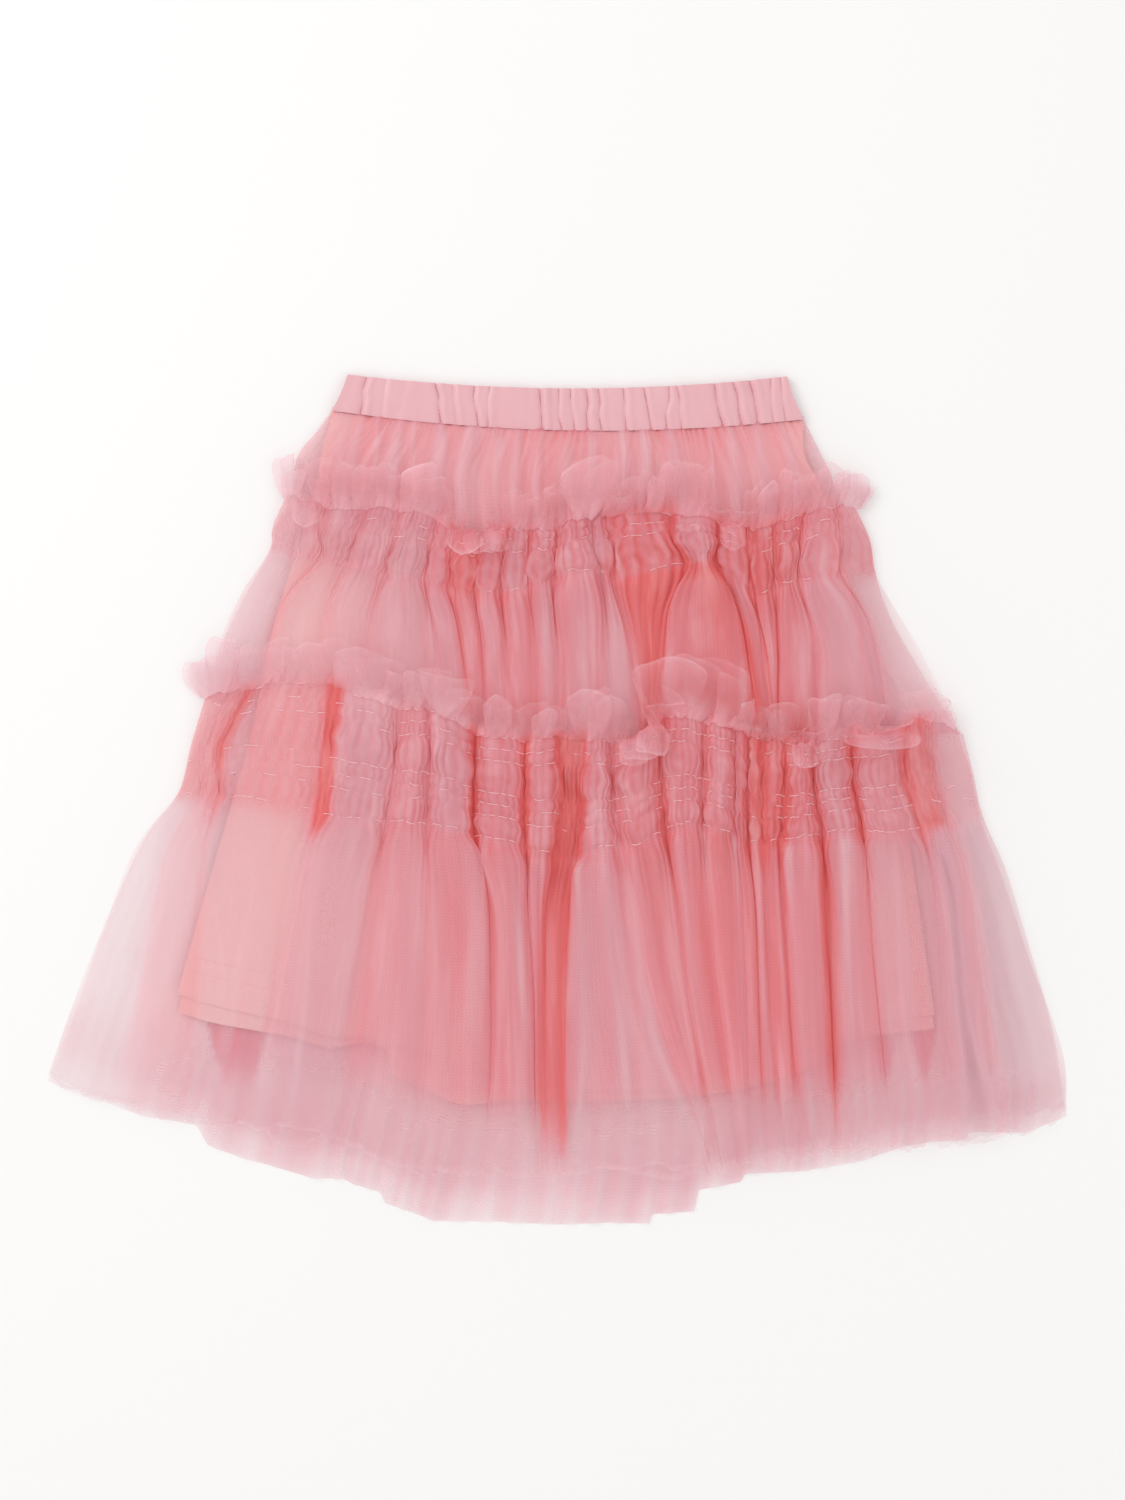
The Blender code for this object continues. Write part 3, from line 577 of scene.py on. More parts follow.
    # warmth is partly the thick net's own colour and partly painted shade; more painted shade lies
    # between the gather ridges, and raised streaks and crinkles are painted paler as a highlight
    warm = mix(softly(8), softly(10), inFlounce)
    depth = warm + (1.0 - warm) * grooved - 0.075 * streak - 0.04 * fine - 0.09 * crinkle
    depth = depth + 0.32 * (1.0 - ridge) ** 1.3 * mix(1.0, np.exp(-below / 30.0), inFlounce)
    # cloth in a groove keeps its warmth, with the painted groove shade, and its cover down to the
    # hem
    faded = 1.0 - 0.95 * smooth(0.55, 0.95, depth)
    depth = depth * mix(1.0, tier["hemWarmth"] ** faded, smooth(0.76, 0.98, down))
    # painted shade in the troughs of the main creases, and a paler colour on their ridges
    depth = depth + opened * (0.29 * sunk - 0.2 * laid)
    cover = mix(softly(7), softly(9), inFlounce)
    fading = tier["hemCover"] ** (0.5 * smooth(0.05, 0.55, cover) * faded)
    cover = cover + (0.92 - cover) * 0.7 * grooved + 0.1 * np.exp(-below / 22.0) * inFlounce
    cover = cover - 0.055 * streak - 0.035 * fine + 0.04 * crinkle
    cover = cover + opened * (0.13 * laid + 0.05 * sunk) * (1.2 - cover)
    # it thins towards the hem in two stretches
    for begin, end in ((0.79, 0.89), (0.89, 1.0)):
        cover = cover * mix(1.0, fading, smooth(begin, end, down))
    # two layers share the threads
    cover = 1.0 - (1.0 - np.clip(cover, 0.0, 0.97)) ** (0.62, 0.45)[layer]
    # the raw edge is rolled a little, so it has more cover, and a painted highlight shows it as a
    # paler line
    edge = smooth(0.984, 1.0, down)
    cover = cover + edge * 0.22 * (1.0 - cover)
    # painted highlight on the ridges of the main creases and along the rolled hem
    rimHighlight = np.maximum(0.55 * opened * smooth(0.55, 1.1, laid), 0.75 * edge)
    shade = tier["shade"][0] * (1.0 - smooth(0.04, 0.14, across))
    shade = (shade + tier["shade"][1] * smooth(0.76, 0.9, across)) * mix(0.3, 1.0, inFlounce)
    return x, y, z, {"cover": np.clip(cover, 0.05, 0.97), "depth": np.clip(depth, 0.0, 1.0),
                     "rimHighlight": np.clip(rimHighlight, 0.0, 1.0), "shade": shade}


def slopeCover(x, y, z, marks, warmth=0.5):
    # cloth that stands steeply holds more threads over each square of the page, so it has more
    # cover, and its colour is made warmer there as painted shade on the steep flanks
    places = np.stack([x, y, z])
    normal = np.cross(np.gradient(places, axis=2), np.gradient(places, axis=1), axis=0)
    up = np.abs(normal[2]) / np.maximum(np.linalg.norm(normal, axis=0), 1e-9)
    crowd = np.clip(1.0 / np.maximum(up, 0.2), 1.0, 5.0) ** 0.2
    marks["cover"] = 1.0 - (1.0 - marks["cover"]) ** crowd
    marks["depth"] = np.clip(marks["depth"] + warmth * (1.0 - up) ** 1.3, 0.0, 1.0)
    return marks


def makeTier(name, tier, layer):
    # the inner layer's grid is coarser
    fine = (1.0, 0.66)[layer]
    columns, bandRows, flounceRows = [int(tier[key] * fine)
                                      for key in ("columns", "bandRows", "flounceRows")]
    fold, phase = clothPlaces(tier, columns)
    down = np.append(np.linspace(0.0, tier["band"], bandRows, endpoint=False),
                     np.linspace(tier["band"], 1.0, flounceRows))
    x, y, z, marks = shapeTier(tier, fold, phase, down, layer)
    return makeCloth(name, x, y, z, slopeCover(x, y, z, marks), tulleFront)


frillTwo = {
    "tier": tierTwo,
    "seed": 51,
    # columns of the grid for each flap, and rows
    "columns": 22,
    "rows": 18,
    "warmth": 0.14,
    # x at the two ends of its foot
    "begin": -268,
    "end": 303,
    # flaps of the free edge: middle and half width of its edge, its length, the angles at which
    # it leaves the stitch row and ends, from flat up the page (0) through upright (90) to folded
    # down over the band (180), how high it lies among its neighbours, and its cover
    "flaps": [
        (-271, 12, 30, 62, -8, 1, 0.15), (-252, 14, 38, 58, -8, 2, 0.16),
        (-222, 17, 38, 66, -8, 3, 0.26), (-200, 10, 30, 60, -8, 1, 0.16),
        (-184, 14, 34, 56, -8, 0, 0.16), (-146, 24, 38, 64, -10, 3, 0.25),
        (-120, 10, 28, 62, -8, 1, 0.24), (-106, 9, 31, 62, -8, 2, 0.20),
        (-82, 17, 35, 68, 6, 3, 0.19), (-62, 10, 26, 60, -8, 1, 0.20),
        (-44, 15, 34, 66, -8, 2, 0.16), (-25, 9, 27, 56, -8, 0, 0.11),
        (-10, 12, 28, 64, -8, 2, 0.22), (8, 9, 24, 56, -8, 0, 0.16),
        (24, 14, 40, 64, -8, 3, 0.24), (40, 10, 40, 56, -8, 1, 0.18),
        (56, 10, 30, 84, 190, 2, 0.22), (71, 13, 30, 84, 200, 3, 0.26),
        (84, 25, 52, 58, -8, 1, 0.15), (119, 24, 46, 54, -8, 0, 0.13),
        (141, 8, 36, 76, 20, 3, 0.19), (156, 9, 22, 60, -8, 1, 0.12),
        (170, 10, 34, 62, -8, 2, 0.22), (184, 8, 27, 84, 170, 3, 0.26),
        (200, 12, 40, 62, -8, 1, 0.18), (218, 13, 34, 60, -8, 0, 0.20),
        (241, 25, 34, 86, 110, 3, 0.28), (262, 11, 30, 80, 40, 1, 0.20),
        (272, 10, 26, 60, -8, 2, 0.12), (281, 10, 30, 62, -8, 0, 0.10),
        (289, 8, 22, 60, -8, 2, 0.08), (294, 6, 16, 58, -8, 1, 0.06),
    ],
}

frillOne = {
    "tier": tierOne,
    "seed": 61,
    "columns": 20,
    "rows": 18,
    "warmth": 0.32,
    "begin": -207,
    "end": 227,
    "flaps": [
        (-207, 10, 38, 64, -8, 3, 0.22), (-190, 9, 32, 84, 150, 3, 0.18),
        (-177, 10, 38, 58, -8, 1, 0.18), (-161, 10, 38, 60, -8, 0, 0.18),
        (-144, 10, 34, 62, -8, 2, 0.20), (-128, 9, 34, 58, -8, 1, 0.16),
        (-104, 15, 38, 64, -8, 3, 0.30), (-86, 8, 30, 56, -8, 0, 0.14),
        (-68, 13, 24, 80, 176, 3, 0.26), (-48, 12, 22, 84, 184, 2, 0.24),
        (-34, 8, 28, 62, -8, 0, 0.16), (-20, 9, 27, 64, -8, 1, 0.18),
        (-5, 7, 38, 62, -8, 2, 0.18), (6, 7, 36, 58, -8, 0, 0.14),
        (24, 19, 48, 64, -8, 3, 0.24), (47, 9, 32, 76, 20, 2, 0.26),
        (59, 7, 34, 58, -8, 0, 0.14), (74, 8, 37, 74, 10, 3, 0.30),
        (94, 15, 46, 62, -8, 2, 0.24), (113, 7, 40, 58, -8, 0, 0.14),
        (131, 13, 32, 84, 196, 3, 0.22), (146, 8, 36, 60, -8, 1, 0.20),
        (158, 8, 38, 64, -8, 3, 0.28), (172, 8, 36, 60, -8, 0, 0.16),
        (185, 9, 34, 62, -8, 2, 0.20), (199, 9, 34, 60, -8, 1, 0.20),
        (213, 10, 29, 62, -8, 2, 0.20), (225, 8, 27, 60, -8, 3, 0.20),
        (233, 6, 20, 58, -8, 1, 0.16),
    ],
}


def liftOver(x, y, z, cloths, gap):
    # lays these points over the pieces under them, looking down from well above the skirt
    above, down = 200.0 * mm, Vector((0.0, 0.0, -1.0))
    for cloth in cloths:
        tree = BVHTree.FromPolygons([vertex.co for vertex in cloth.data.vertices],
                                    [face.vertices[:] for face in cloth.data.polygons])
        for place in np.ndindex(z.shape):
            hit = tree.ray_cast(Vector((x[place] * mm, y[place] * mm, above)), down)[0]
            if hit is not None:
                z[place] = max(z[place], hit.z / mm + gap)
    return z


def makeFrill(name, frill, cloths, layer):
    # the cloth above the first stitch row meanders: forward as a flap, back as the hollow
    # between it and the next, with some flaps lying over their neighbours
    fold, phase = clothPlaces(frill["tier"], columns=1600)
    footX, footY, footZ, footMarks = shapeTier(frill["tier"], fold, phase, np.array([0.0]))
    seed = frill["seed"] + 4 * layer
    flaps = np.array(frill["flaps"], float)
    if layer:
        # the cloth under it has flaps of its own between these
        flaps = 0.5 * (flaps[1:] + flaps[:-1])
        flaps[:, 3] -= 10.0
        flaps[:, 5:] *= (0.4, 0.75)
    count = len(flaps)
    order = np.arange(count)
    centre, half, length, leave, end, level, cover = flaps.T
    half = half * (1.0 + 0.32 * wander(order * 3.1, seed))
    length = length * (0.94 + 0.13 * wander(order * 2.3, seed + 6))
    leave = np.where(leave < 70.0, leave - 38.0, leave) + 12.0 * wander(order * 1.9, seed + 18)
    end = np.where(end < 0.0, end - 14.0, end) + 14.0 * wander(order * 1.4, seed + 17)
    lean = 0.5 + 0.22 * wander(order * 3.3, seed + 24)
    pointed = 0.45 + 0.45 * wander(order * 4.1, seed + 25)
    level = level + 0.8 * wander(order * 1.7, seed + 19)
    shape = 0.7 + 0.2 * wander(order * 2.9, seed + 20)

    # along the cloth: first over a flap, then under it to the next
    number = np.arange(count * frill["columns"] + 1) / frill["columns"]
    flap = np.minimum(number.astype(int), count - 1)
    after = np.minimum(flap + 1, count - 1)
    t = number - flap
    flapShare = 0.62
    isOver = t <= flapShare
    over = np.clip(t / flapShare, 0.0, 1.0)
    under = np.clip((t - flapShare) / (1.0 - flapShare), 0.0, 1.0)
    bulge, hollow = np.sin(np.pi * over), np.sin(np.pi * under)
    turn = 0.5 - 0.5 * np.cos(np.pi * under)
    peak = lean[flap]
    warped = 0.5 * np.where(over < peak, over / peak, 1.0 + (over - peak) / (1.0 - peak))
    outline = mix(np.sin(np.pi * warped) ** 0.55, (1.0 - np.abs(2.0 * warped - 1.0)) ** 0.9,
                  pointed[flap])

    def along(values):
        return np.where(isOver, values[flap], mix(values[flap], values[after], turn))

    edgeX = np.where(isOver, centre[flap] - half[flap] * np.cos(np.pi * over),
                     mix(centre[flap] + half[flap], centre[after] - half[after], turn))
    reach = along(length) * np.where(isOver, mix(shape[flap], 1.0, outline),
                                     mix(shape[flap], shape[after], turn) * (1.0 - 0.16 * hollow))
    reach = reach * (1.0 + 0.12 * wander(number * 2.3, seed + 7)
                     + 0.06 * wander(number * 6.1, seed + 21))
    leaving = along(leave) + 8.0 * bulge - 18.0 * hollow
    ending = along(end) + 8.0 * bulge - 6.0 * hollow
    # its foot on the stitch row lies about halfway between the flaps' middles
    ends = np.array([frill["begin"], *0.5 * (centre[1:] + centre[:-1]), frill["end"]])
    ends[1:-1] += 2.2 * wander(order[1:] * 2.7, seed + 22)
    baseX = mix(ends[flap], ends[flap + 1], t)
    across = (baseX - footX[0, 0]) / (footX[0, -1] - footX[0, 0])

    def atFoot(values):
        return np.interp(baseX, footX[0], values[0])

    # up the cloth, which curls from the angle at which it leaves to the one at its edge
    v = np.linspace(1.0, 0.0, frill["rows"])[:, None]
    steps = 40
    angle = np.radians(mix(leaving, ending, np.linspace(0.0, 1.0, steps + 1)[1:, None] ** 0.8))
    low = np.minimum((v[:, 0] * steps).astype(int), steps - 1)

    def curled(toward):
        run = np.insert(np.cumsum(toward(angle), axis=0), 0, 0.0, axis=0) / steps
        return mix(run[low], run[low + 1], v * steps - low[:, None]) * reach

    x = mix(baseX, edgeX, np.sin(0.5 * np.pi * v) ** 0.9)
    x = x + v * rumple(number * 2.6, v * 1.5, seed + 3)
    y = atFoot(footY) + curled(np.cos) + v ** 2 * 1.2 * wander(number * 4.0, seed + 4)
    lies = v ** 0.7 * (1.7 * along(level) + 2.2 * bulge - 2.4 * hollow)
    # the last flaps at the side seams lie flat over nothing, and look nearly white
    sideFlaps = 1.0 - smooth(0.0, 0.05, np.minimum(across, 1.0 - across))
    crinkle = 1.1 * wander(number * 3.7, seed + 1) + 1.7 * rumple(number * 2.1, v * 2.6, seed + 8)
    crinkle = v * crinkle * (1.0 - 0.5 * sideFlaps)
    pleat = np.sin(np.pi * (4.2 * number + 2.1 * wander(number * 1.1, seed + 26)))
    pleat = pleat * (1.0 - 0.75 * sideFlaps)
    crinkle = crinkle + 1.3 * pleat * v ** 0.6 * (1.0 + 0.6 * wander(number * 0.9, seed + 27))
    gather = np.abs(np.sin(np.pi * number * 3.0 + wander(number * 2.0, seed + 23)))
    gather = 0.8 * (1.0 - v) ** 1.5 * gather
    dome = np.clip(1.0 - np.abs(2.0 * across - 1.0) ** 6, 0.25, 1.0)
    z = atFoot(footZ) + 0.6 + dome * (curled(np.sin) + lies + crinkle + gather)
    z = np.maximum(z, 1.0)
    # no flap stands much higher than this
    tall = 50.0
    z = np.where(z > tall, tall + 8.0 * np.tanh((z - tall) / 8.0), z)
    z = liftOver(x, y, z, cloths, gap=0.3)

    edge = smooth(0.9, 1.0, v)
    foot = 1.0 - smooth(0.0, 0.55, v)
    # painted highlight at the free edge, on flaps that lie higher and on the pleats' crests; the
    # side flaps take it too
    rimHighlight = 0.08 + 0.04 * along(level) + edge * np.where(isOver, 0.42, 0.22)
    rimHighlight = np.maximum(rimHighlight + 0.12 * np.maximum(pleat, 0.0) * v, 0.55 * sideFlaps)
    thick = along(1.05 * cover) * (1.0 - 0.5 * hollow * v) + 0.11 * edge
    thick = mix(thick, atFoot(footMarks["cover"]), 0.75 * foot)
    thick = thick * (1.0 + 0.42 * rumple(number * 1.3, v * 1.9, seed + 5) - 0.12 * pleat)
    # painted shade in the hollows between the flaps
    depth = frill["warmth"] + 0.42 * hollow * (1.0 - v)
    depth = mix(depth, atFoot(footMarks["depth"]), 0.85 * foot)
    marks = {"cover": np.clip(thick + 0.22 * sideFlaps, 0.0, 0.95),
             "depth": np.clip(depth * (1.0 - 0.7 * sideFlaps), 0.0, 1.0),
             "rimHighlight": np.clip(rimHighlight, 0.0, 1.0)}
    return makeCloth(name, x, y, z, slopeCover(x, y, z, marks, warmth=0.12), tulleFrill)


def sectionGrid(sections, columns, rows):
    # an even grid over the sections, which are lines across the skirt from the top down: left x,
    # left y, right x, right y and how far the middle sags; gives x, y and the shares across and
    # down
    across = np.linspace(0.0, 1.0, columns)
    down = np.linspace(0.0, 1.0, rows)[:, None]
    stations = np.linspace(0.0, 1.0, len(sections))
    leftX, leftY, rightX, rightY, sag = [flow(stations, side, down) for side in zip(*sections)]
    x = mix(leftX, rightX, across)
    y = mix(leftY, rightY, across) - sag * 4.0 * across * (1.0 - across)
    return x, y, across, down


print("materials")
# the pale edge tone is a painted highlight, and the shade tone a mauve painted shade
pinks = {"shade": "#D09AA8", "pale": "#EDB8C3", "middle": "#F5A3AD", "deep": "#F47E7E",
         "rimHighlight": "#F8DADF", "through": 0.22}
tulleFront = netMaterial("nylonTulleFront", {**pinks, "cut": (0.9, 0.35), "streaks": 55.0,
                                             "slack": 7.0})
tulleFrill = netMaterial("nylonTulleFrill", {**pinks, "pale": "#F3C4CE", "middle": "#F5A6B0",
                                             "cut": (1.2, 0.035), "streaks": 40.0, "slack": 25.0,
                                             "through": 0.12})
tulleYoke = netMaterial("nylonTulleYoke", {**pinks, "cut": (0.46, 0.075), "streaks": 90.0,
                                           "slack": 12.0})
tulleBack = netMaterial("nylonTulleBack", {**pinks, "cut": (0.8, 0.42), "streaks": 22.0,
                                           "slack": 5.0})
liningSatin = satinMaterial("polyesterLiningSatin", {"pale": "#F6D5D1", "deep": "#F3CBC6",
                                                     "roughness": 0.45})
casingSatin = satinMaterial("polyesterCasingSatin", {"pale": "#E8B6BC", "deep": "#E2A9AF",
                                                     "roughness": 0.38})
twinePink = threadMaterial("polyesterThread", {"pale": "#FBDDE1", "deep": "#F3C3C9"})

print("tiers")
tierCloths = []
for start, tier, node, flats in (
        ("tierTwoFront", tierTwo, "tier_2_front", ((0.86, 0.35), (0.84, 0.35))),
        ("tierOneFront", tierOne, "tier_1_front", ((0.70, 0.17), (0.66, 0.17)))):
    cloth = makeTier(start + "Cloth", tier, 0)
    finishSheet(cloth, "tulle", node, flats[0], rests_on=[start + "Inner"])
    tierCloths.append(cloth)
    cloth = makeTier(start + "Inner", tier, 1)
    finishSheet(cloth, "tulle", node, flats[1], rests_on=["liningFrontSatin"])

print("frills")
for layer, ending in enumerate(("Frill", "FrillUnder")):
    for start, frill, node, width, tall, cloths in (
            ("tierTwoFront", frillTwo, "tier_2_front", 1.2, (0.035, 0.031), tierCloths),
            ("tierOneFront", frillOne, "tier_1_front", 0.9, (0.033, 0.030), tierCloths[1:])):
        cloth = makeFrill(start + ending, frill, cloths, layer)
        finishSheet(cloth, "tulle", node, (width, tall[layer]), rests_on=[start + "Cloth"])

print("stitches")


def layThread(name, lines, thickness, node):
    # each line is one stitch lying on the cloth
    curve = bpy.data.curves.new(name, "CURVE")
    curve.dimensions = "3D"
    curve.bevel_depth = thickness * mm
    curve.bevel_resolution = 0
    curve.use_fill_caps = True
    for line in lines:
        spline = curve.splines.new("POLY")
        spline.points.add(len(line) - 1)
        spline.points.foreach_set("co", np.insert(line * mm, 3, 1.0, axis=1).ravel())
    lined = placeObject(name + "Curve", curve)
    mesh = bpy.data.meshes.new_from_object(lined.evaluated_get(
        bpy.context.evaluated_depsgraph_get()))
    bpy.data.objects.remove(lined)
    mesh.name = name
    mesh.materials.clear()
    mesh.materials.append(twinePink)
    finishPiece(placeObject(name, mesh), node)


def followLine(*line):
    # how far each point is along the line, and a function that gives the places on the way
    walk = np.append(0.0, np.cumsum(np.linalg.norm(np.diff(line), axis=0)))
    return walk, lambda at: np.array([np.interp(at, walk, each) for each in line]).T


def stitchLines(tier, seed):
    # runs of gathering stitch over the fronts of the folds, lost in the valleys between them;
    # they are 4 to 10.5 mm long, with small gaps
    fold, phase = clothPlaces(tier, columns=2400)
    x, y, z = shapeTier(tier, fold, phase, np.array(tier["stitchRows"]) * tier["band"])[:3]
    chance = np.random.default_rng(seed)
    lines = []
    for line in zip(x, y, z):
        walk, placesAt = followLine(*line)
        at = 2.0
        while at < walk[-1] - 12.0:
            length = chance.uniform(4.0, 10.5)
            middle = at + 0.5 * length
            first, which, last = np.interp([at, middle, at + length], walk, fold).astype(int)
            where = np.interp(middle, walk, phase)
            shown = abs(2.0 * where - 1.0) < 0.84 and chance.uniform() < tier["stitched"][which]
            stitch = placesAt(at + np.linspace(0.0, length, 6))
            goesX, goesY, _ = np.abs(stitch[0] - stitch[-1])
            if shown and first == last and goesX > 2.0 and goesY < 0.4 * goesX:
                stitch[:, 2] = np.maximum(stitch[:, 2], np.mean(stitch[:, 2]))
                stitch[:, 2] += [-0.3, 0.5, 0.6, 0.6, 0.5, -0.3]
                stitch[:, 1] += chance.uniform(-0.35, 0.35)
                lines.append(stitch)
            at += length + chance.uniform(0.6, 2.8)
    return lines


layThread("tierTwoStitches", stitchLines(tierTwo, seed=201), 0.27, "tier_2_front")
layThread("tierOneStitches", stitchLines(tierOne, seed=211), 0.24, "tier_1_front")

print("back")
# the front yoke and the back one have the same outline
yokeSections = [
    (-170.2, 293.0, 185.9, 286.3, 11.7), (-182.0, 277.1, 196.0, 265.9, 10.0),
    (-197.0, 256.4, 206.0, 245.0, 11.5), (-198.0, 221.0, 216.0, 212.0, 23.0),
]
backs = {
    # ridges and lift are heights at even stations from the top to the hem; sheer is the share
    # of its cover that is left at the left side seam
    "tierTwoBackCloth": {
        "node": "tier_2_back", "flat": (0.80, 0.42),
        "size": (440, 90), "gathers": 46, "seed": 71, "sheer": 0.4,
        "ridges": [1.2, 1.2, 2.6, 1.5, 2.6, 1.5, 2.6, 2.2, 2.2, 4.0], "lift": [0.0, 0.0],
        "sections": [
            (-277.9, 103.1, 297.0, 66.0, 7.0), (-265.9, 74.6, 304.0, 46.0, 13.0),
            (-272.6, 50.0, 310.0, 28.0, 18.0), (-277.9, 32.0, 314.0, 12.0, 22.0),
            (-283.0, 16.0, 317.5, -4.0, 26.0), (-286.9, 3.4, 320.6, -19.1, 30.0),
            (-311.6, -30.4, 334.1, -52.9, 37.0), (-340.1, -94.1, 354.4, -112.9, 39.0),
            (-362.0, -150.0, 381.4, -187.9, 45.0), (-384.4, -214.1, 384.4, -236.6, 55.0),
        ],
        # share across, how far the raw hem hangs below the front's section
        "hemDrop": [
            (0.0, -7), (0.05, 1), (0.09, 5), (0.13, 2), (0.145, 2), (0.155, 15), (0.19, 19),
            (0.215, 20), (0.26, 24), (0.29, 21), (0.30, 24), (0.325, 27), (0.33, 35), (0.36, 40),
            (0.38, 44), (0.44, 41), (0.50, 41), (0.55, 39), (0.59, 40), (0.593, 33), (0.634, 32),
            (0.638, 16), (0.68, 12), (0.684, 6), (0.74, 8), (0.80, 6), (0.84, 0), (0.87, 0),
            (0.90, 4), (0.905, -2), (0.955, 7), (0.96, 8), (1.0, 3),
        ],
        # painted shade below the corners of the lining's hem, as denser and warmer net: left x,
        # right x, top y, foot y and how much denser it is
        "shadeBelowLiningHem": [
            (-264, -220, -168, -232, 0.85), (-214, -150, -196, -250, 0.05),
            (-146, -122, -176, -214, 0.40), (238, 256, -180, -224, 0.85),
            (266, 286, -172, -232, 0.85),
        ],
    },
    "tierOneBackCloth": {
        "node": "tier_1_back", "flat": (0.60, 0.19),
        "size": (380, 50), "gathers": 40, "seed": 81, "sheer": 0.5,
        "ridges": [1.2, 1.2, 2.0, 1.2, 3.0, 2.0, 0.8], "lift": [0.0, 0.0, 0.0, 0.0, 0.0, 2.6, 2.4],
        "sections": [
            (-211.9, 258.4, 236.6, 235.9, 0.0), (-205.1, 226.9, 225.4, 218.6, 20.6),
            (-214.1, 205.9, 235.9, 193.1, 22.0), (-217.1, 188.6, 240.4, 169.9, 23.7),
            (-238.1, 149.6, 251.6, 149.6, 30.0), (-255.4, 112.1, 275.6, 108.4, 32.0),
            (-265.4, 75.2, 305.0, 49.0, 13.0),
        ],
        "hemDrop": [],
        "shadeBelowLiningHem": [],
    },
    "yokeBackCloth": {
        "node": "yoke_back", "flat": (0.42, 0.075),
        "size": (260, 24), "gathers": 26, "seed": 91, "sheer": 0.6,
        "ridges": [0.5, 0.8, 1.0, 0.8], "lift": [0.0, 1.2, 2.6, 2.6],
        "sections": yokeSections,
        "hemDrop": [],
        "shadeBelowLiningHem": [],
    },
}
for name, back in backs.items():
    seed, gathers = back["seed"], back["gathers"]
    x, y, across, down = sectionGrid(back["sections"], *back["size"])
    dome = domeOf(across)
    tall, ground = [np.interp(down, np.linspace(0.0, 1.0, len(back[key])), back[key])
                    for key in ("ridges", "lift")]
    turn = gathers * across + 1.6 * wander(across * gathers * 0.4, seed)
    turn = turn + 0.5 * rumple(across * gathers * 0.4, down * 3.0, seed + 1)
    ridge = np.abs(np.sin(np.pi * turn)) ** 3
    uneven = 0.65 + 0.5 * wander(np.floor(turn) * 1.7, seed + 2)
    z = 0.1 + ground + dome * tall * ridge * uneven
    if back["hemDrop"]:
        hang = np.interp(across, *zip(*back["hemDrop"]))
        y = y - hang * smooth(0.45, 1.0, down) * smooth(0.0, 1.0, down)
    x = x + 0.8 * rumple(across * gathers * 0.7, down * 4.0, seed + 3) * dome
    # the left side is a single sheer layer
    fade = mix(back["sheer"], 1.0, smooth(0.0, 0.24, across))
    fade = fade * mix(1.0, 0.6, smooth(0.93, 1.0, across)) * mix(0.5, 1.0, smooth(0.0, 0.1, down))
    thick = 0.26 + 0.04 * (1.0 - ridge)
    thick = thick - 0.07 * rumple(across * gathers * 0.35, down * 2.0, seed + 4)
    # warmer between the ridges, as painted shade
    depth = (0.08 if back["hemDrop"] else 0.04) + 0.16 * (1.0 - ridge)
    if back["hemDrop"]:
        # small steps stand for the frayed edge
        step = np.floor(3.0 + 2.0 * wander(across * 60.0, seed + 8))
        thick = thick + 0.32 * smooth(0.86, 0.97, down) - 0.05 * step * smooth(0.93, 1.0, down)
        thick = thick * mix(1.0, 0.8, smooth(0.95, 0.985, down))
    thick = thick * fade
    # painted shade below the lining's hem: more cover and warmth in these patches
    for left, right, top, foot, amount in back["shadeBelowLiningHem"]:
        inside = smooth(left - 2.0, left + 2.0, x + 0.25 * (y - top))
        inside = inside * smooth(right + 2.0, right - 2.0, x - 0.2 * (y - top))
        inside = inside * smooth(foot, mix(foot, top, 0.8), y) * smooth(top + 4.0, top - 2.0, y)
        thick = thick + amount * inside * (1.0 - thick)
        depth = depth + 0.45 * amount * inside
    # a painted highlight along the raw hem
    marks = {"cover": np.clip(thick, 0.05, 0.95), "depth": np.clip(depth, 0.0, 1.0),
             "shade": 0.55, "rimHighlight": 0.5 * smooth(0.985, 1.0, down)}
    cloth = makeCloth(name, x, y, z, marks, tulleBack, outward=-1)
    finishSheet(cloth, "tulle", back["node"], back["flat"])

print("lining")
liningSections = [
    (-169.4, 292.6, 185.1, 285.8, 11.7), (-178.0, 262.0, 187.0, 258.0, 12.0),
    (-185.0, 224.6, 203.0, 224.6, 12.0), (-214.1, 130.9, 228.4, 127.1, 12.0),
    (-229.0, 60.0, 243.0, 60.0, 16.0), (-244.1, -4.1, 259.1, -4.1, 22.0),
    (-286.9, -163.1, 284.6, -178.1, 51.0),
]
linings = {
    # lift is the height at even stations; drawnUp says how far the hem is drawn up at each share
    # across, and sag how much lower it all hangs
    "liningFrontSatin": {
        "lift": [3.1, 7.0, 7.4, 8.2, 8.4, 7.6, 5.6], "sag": 0.0, "seed": 5, "outward": 1,
        "drawnUp": [(0.0, 13), (0.11, 10), (0.20, 13), (0.245, 22), (0.34, 20), (0.42, 8),
                    (0.50, 0), (0.84, 0), (0.88, 8), (1.0, 9)],
        "node": "lining_front", "under": "liningBackSatin",
    },
    "liningBackSatin": {
        "lift": [1.5, 5.2, 5.4, 6.2, 6.4, 5.6, 3.8], "sag": 9.0, "seed": 6, "outward": -1,
        "drawnUp": [(0.0, 13), (0.11, 10), (0.20, 13), (0.245, 27), (0.278, 27), (0.284, 7),
                    (0.33, 7), (0.38, 0), (0.84, 0), (0.88, 10), (1.0, 11)],
        "node": "lining_back", "under": "tierTwoBackCloth",
    },
}
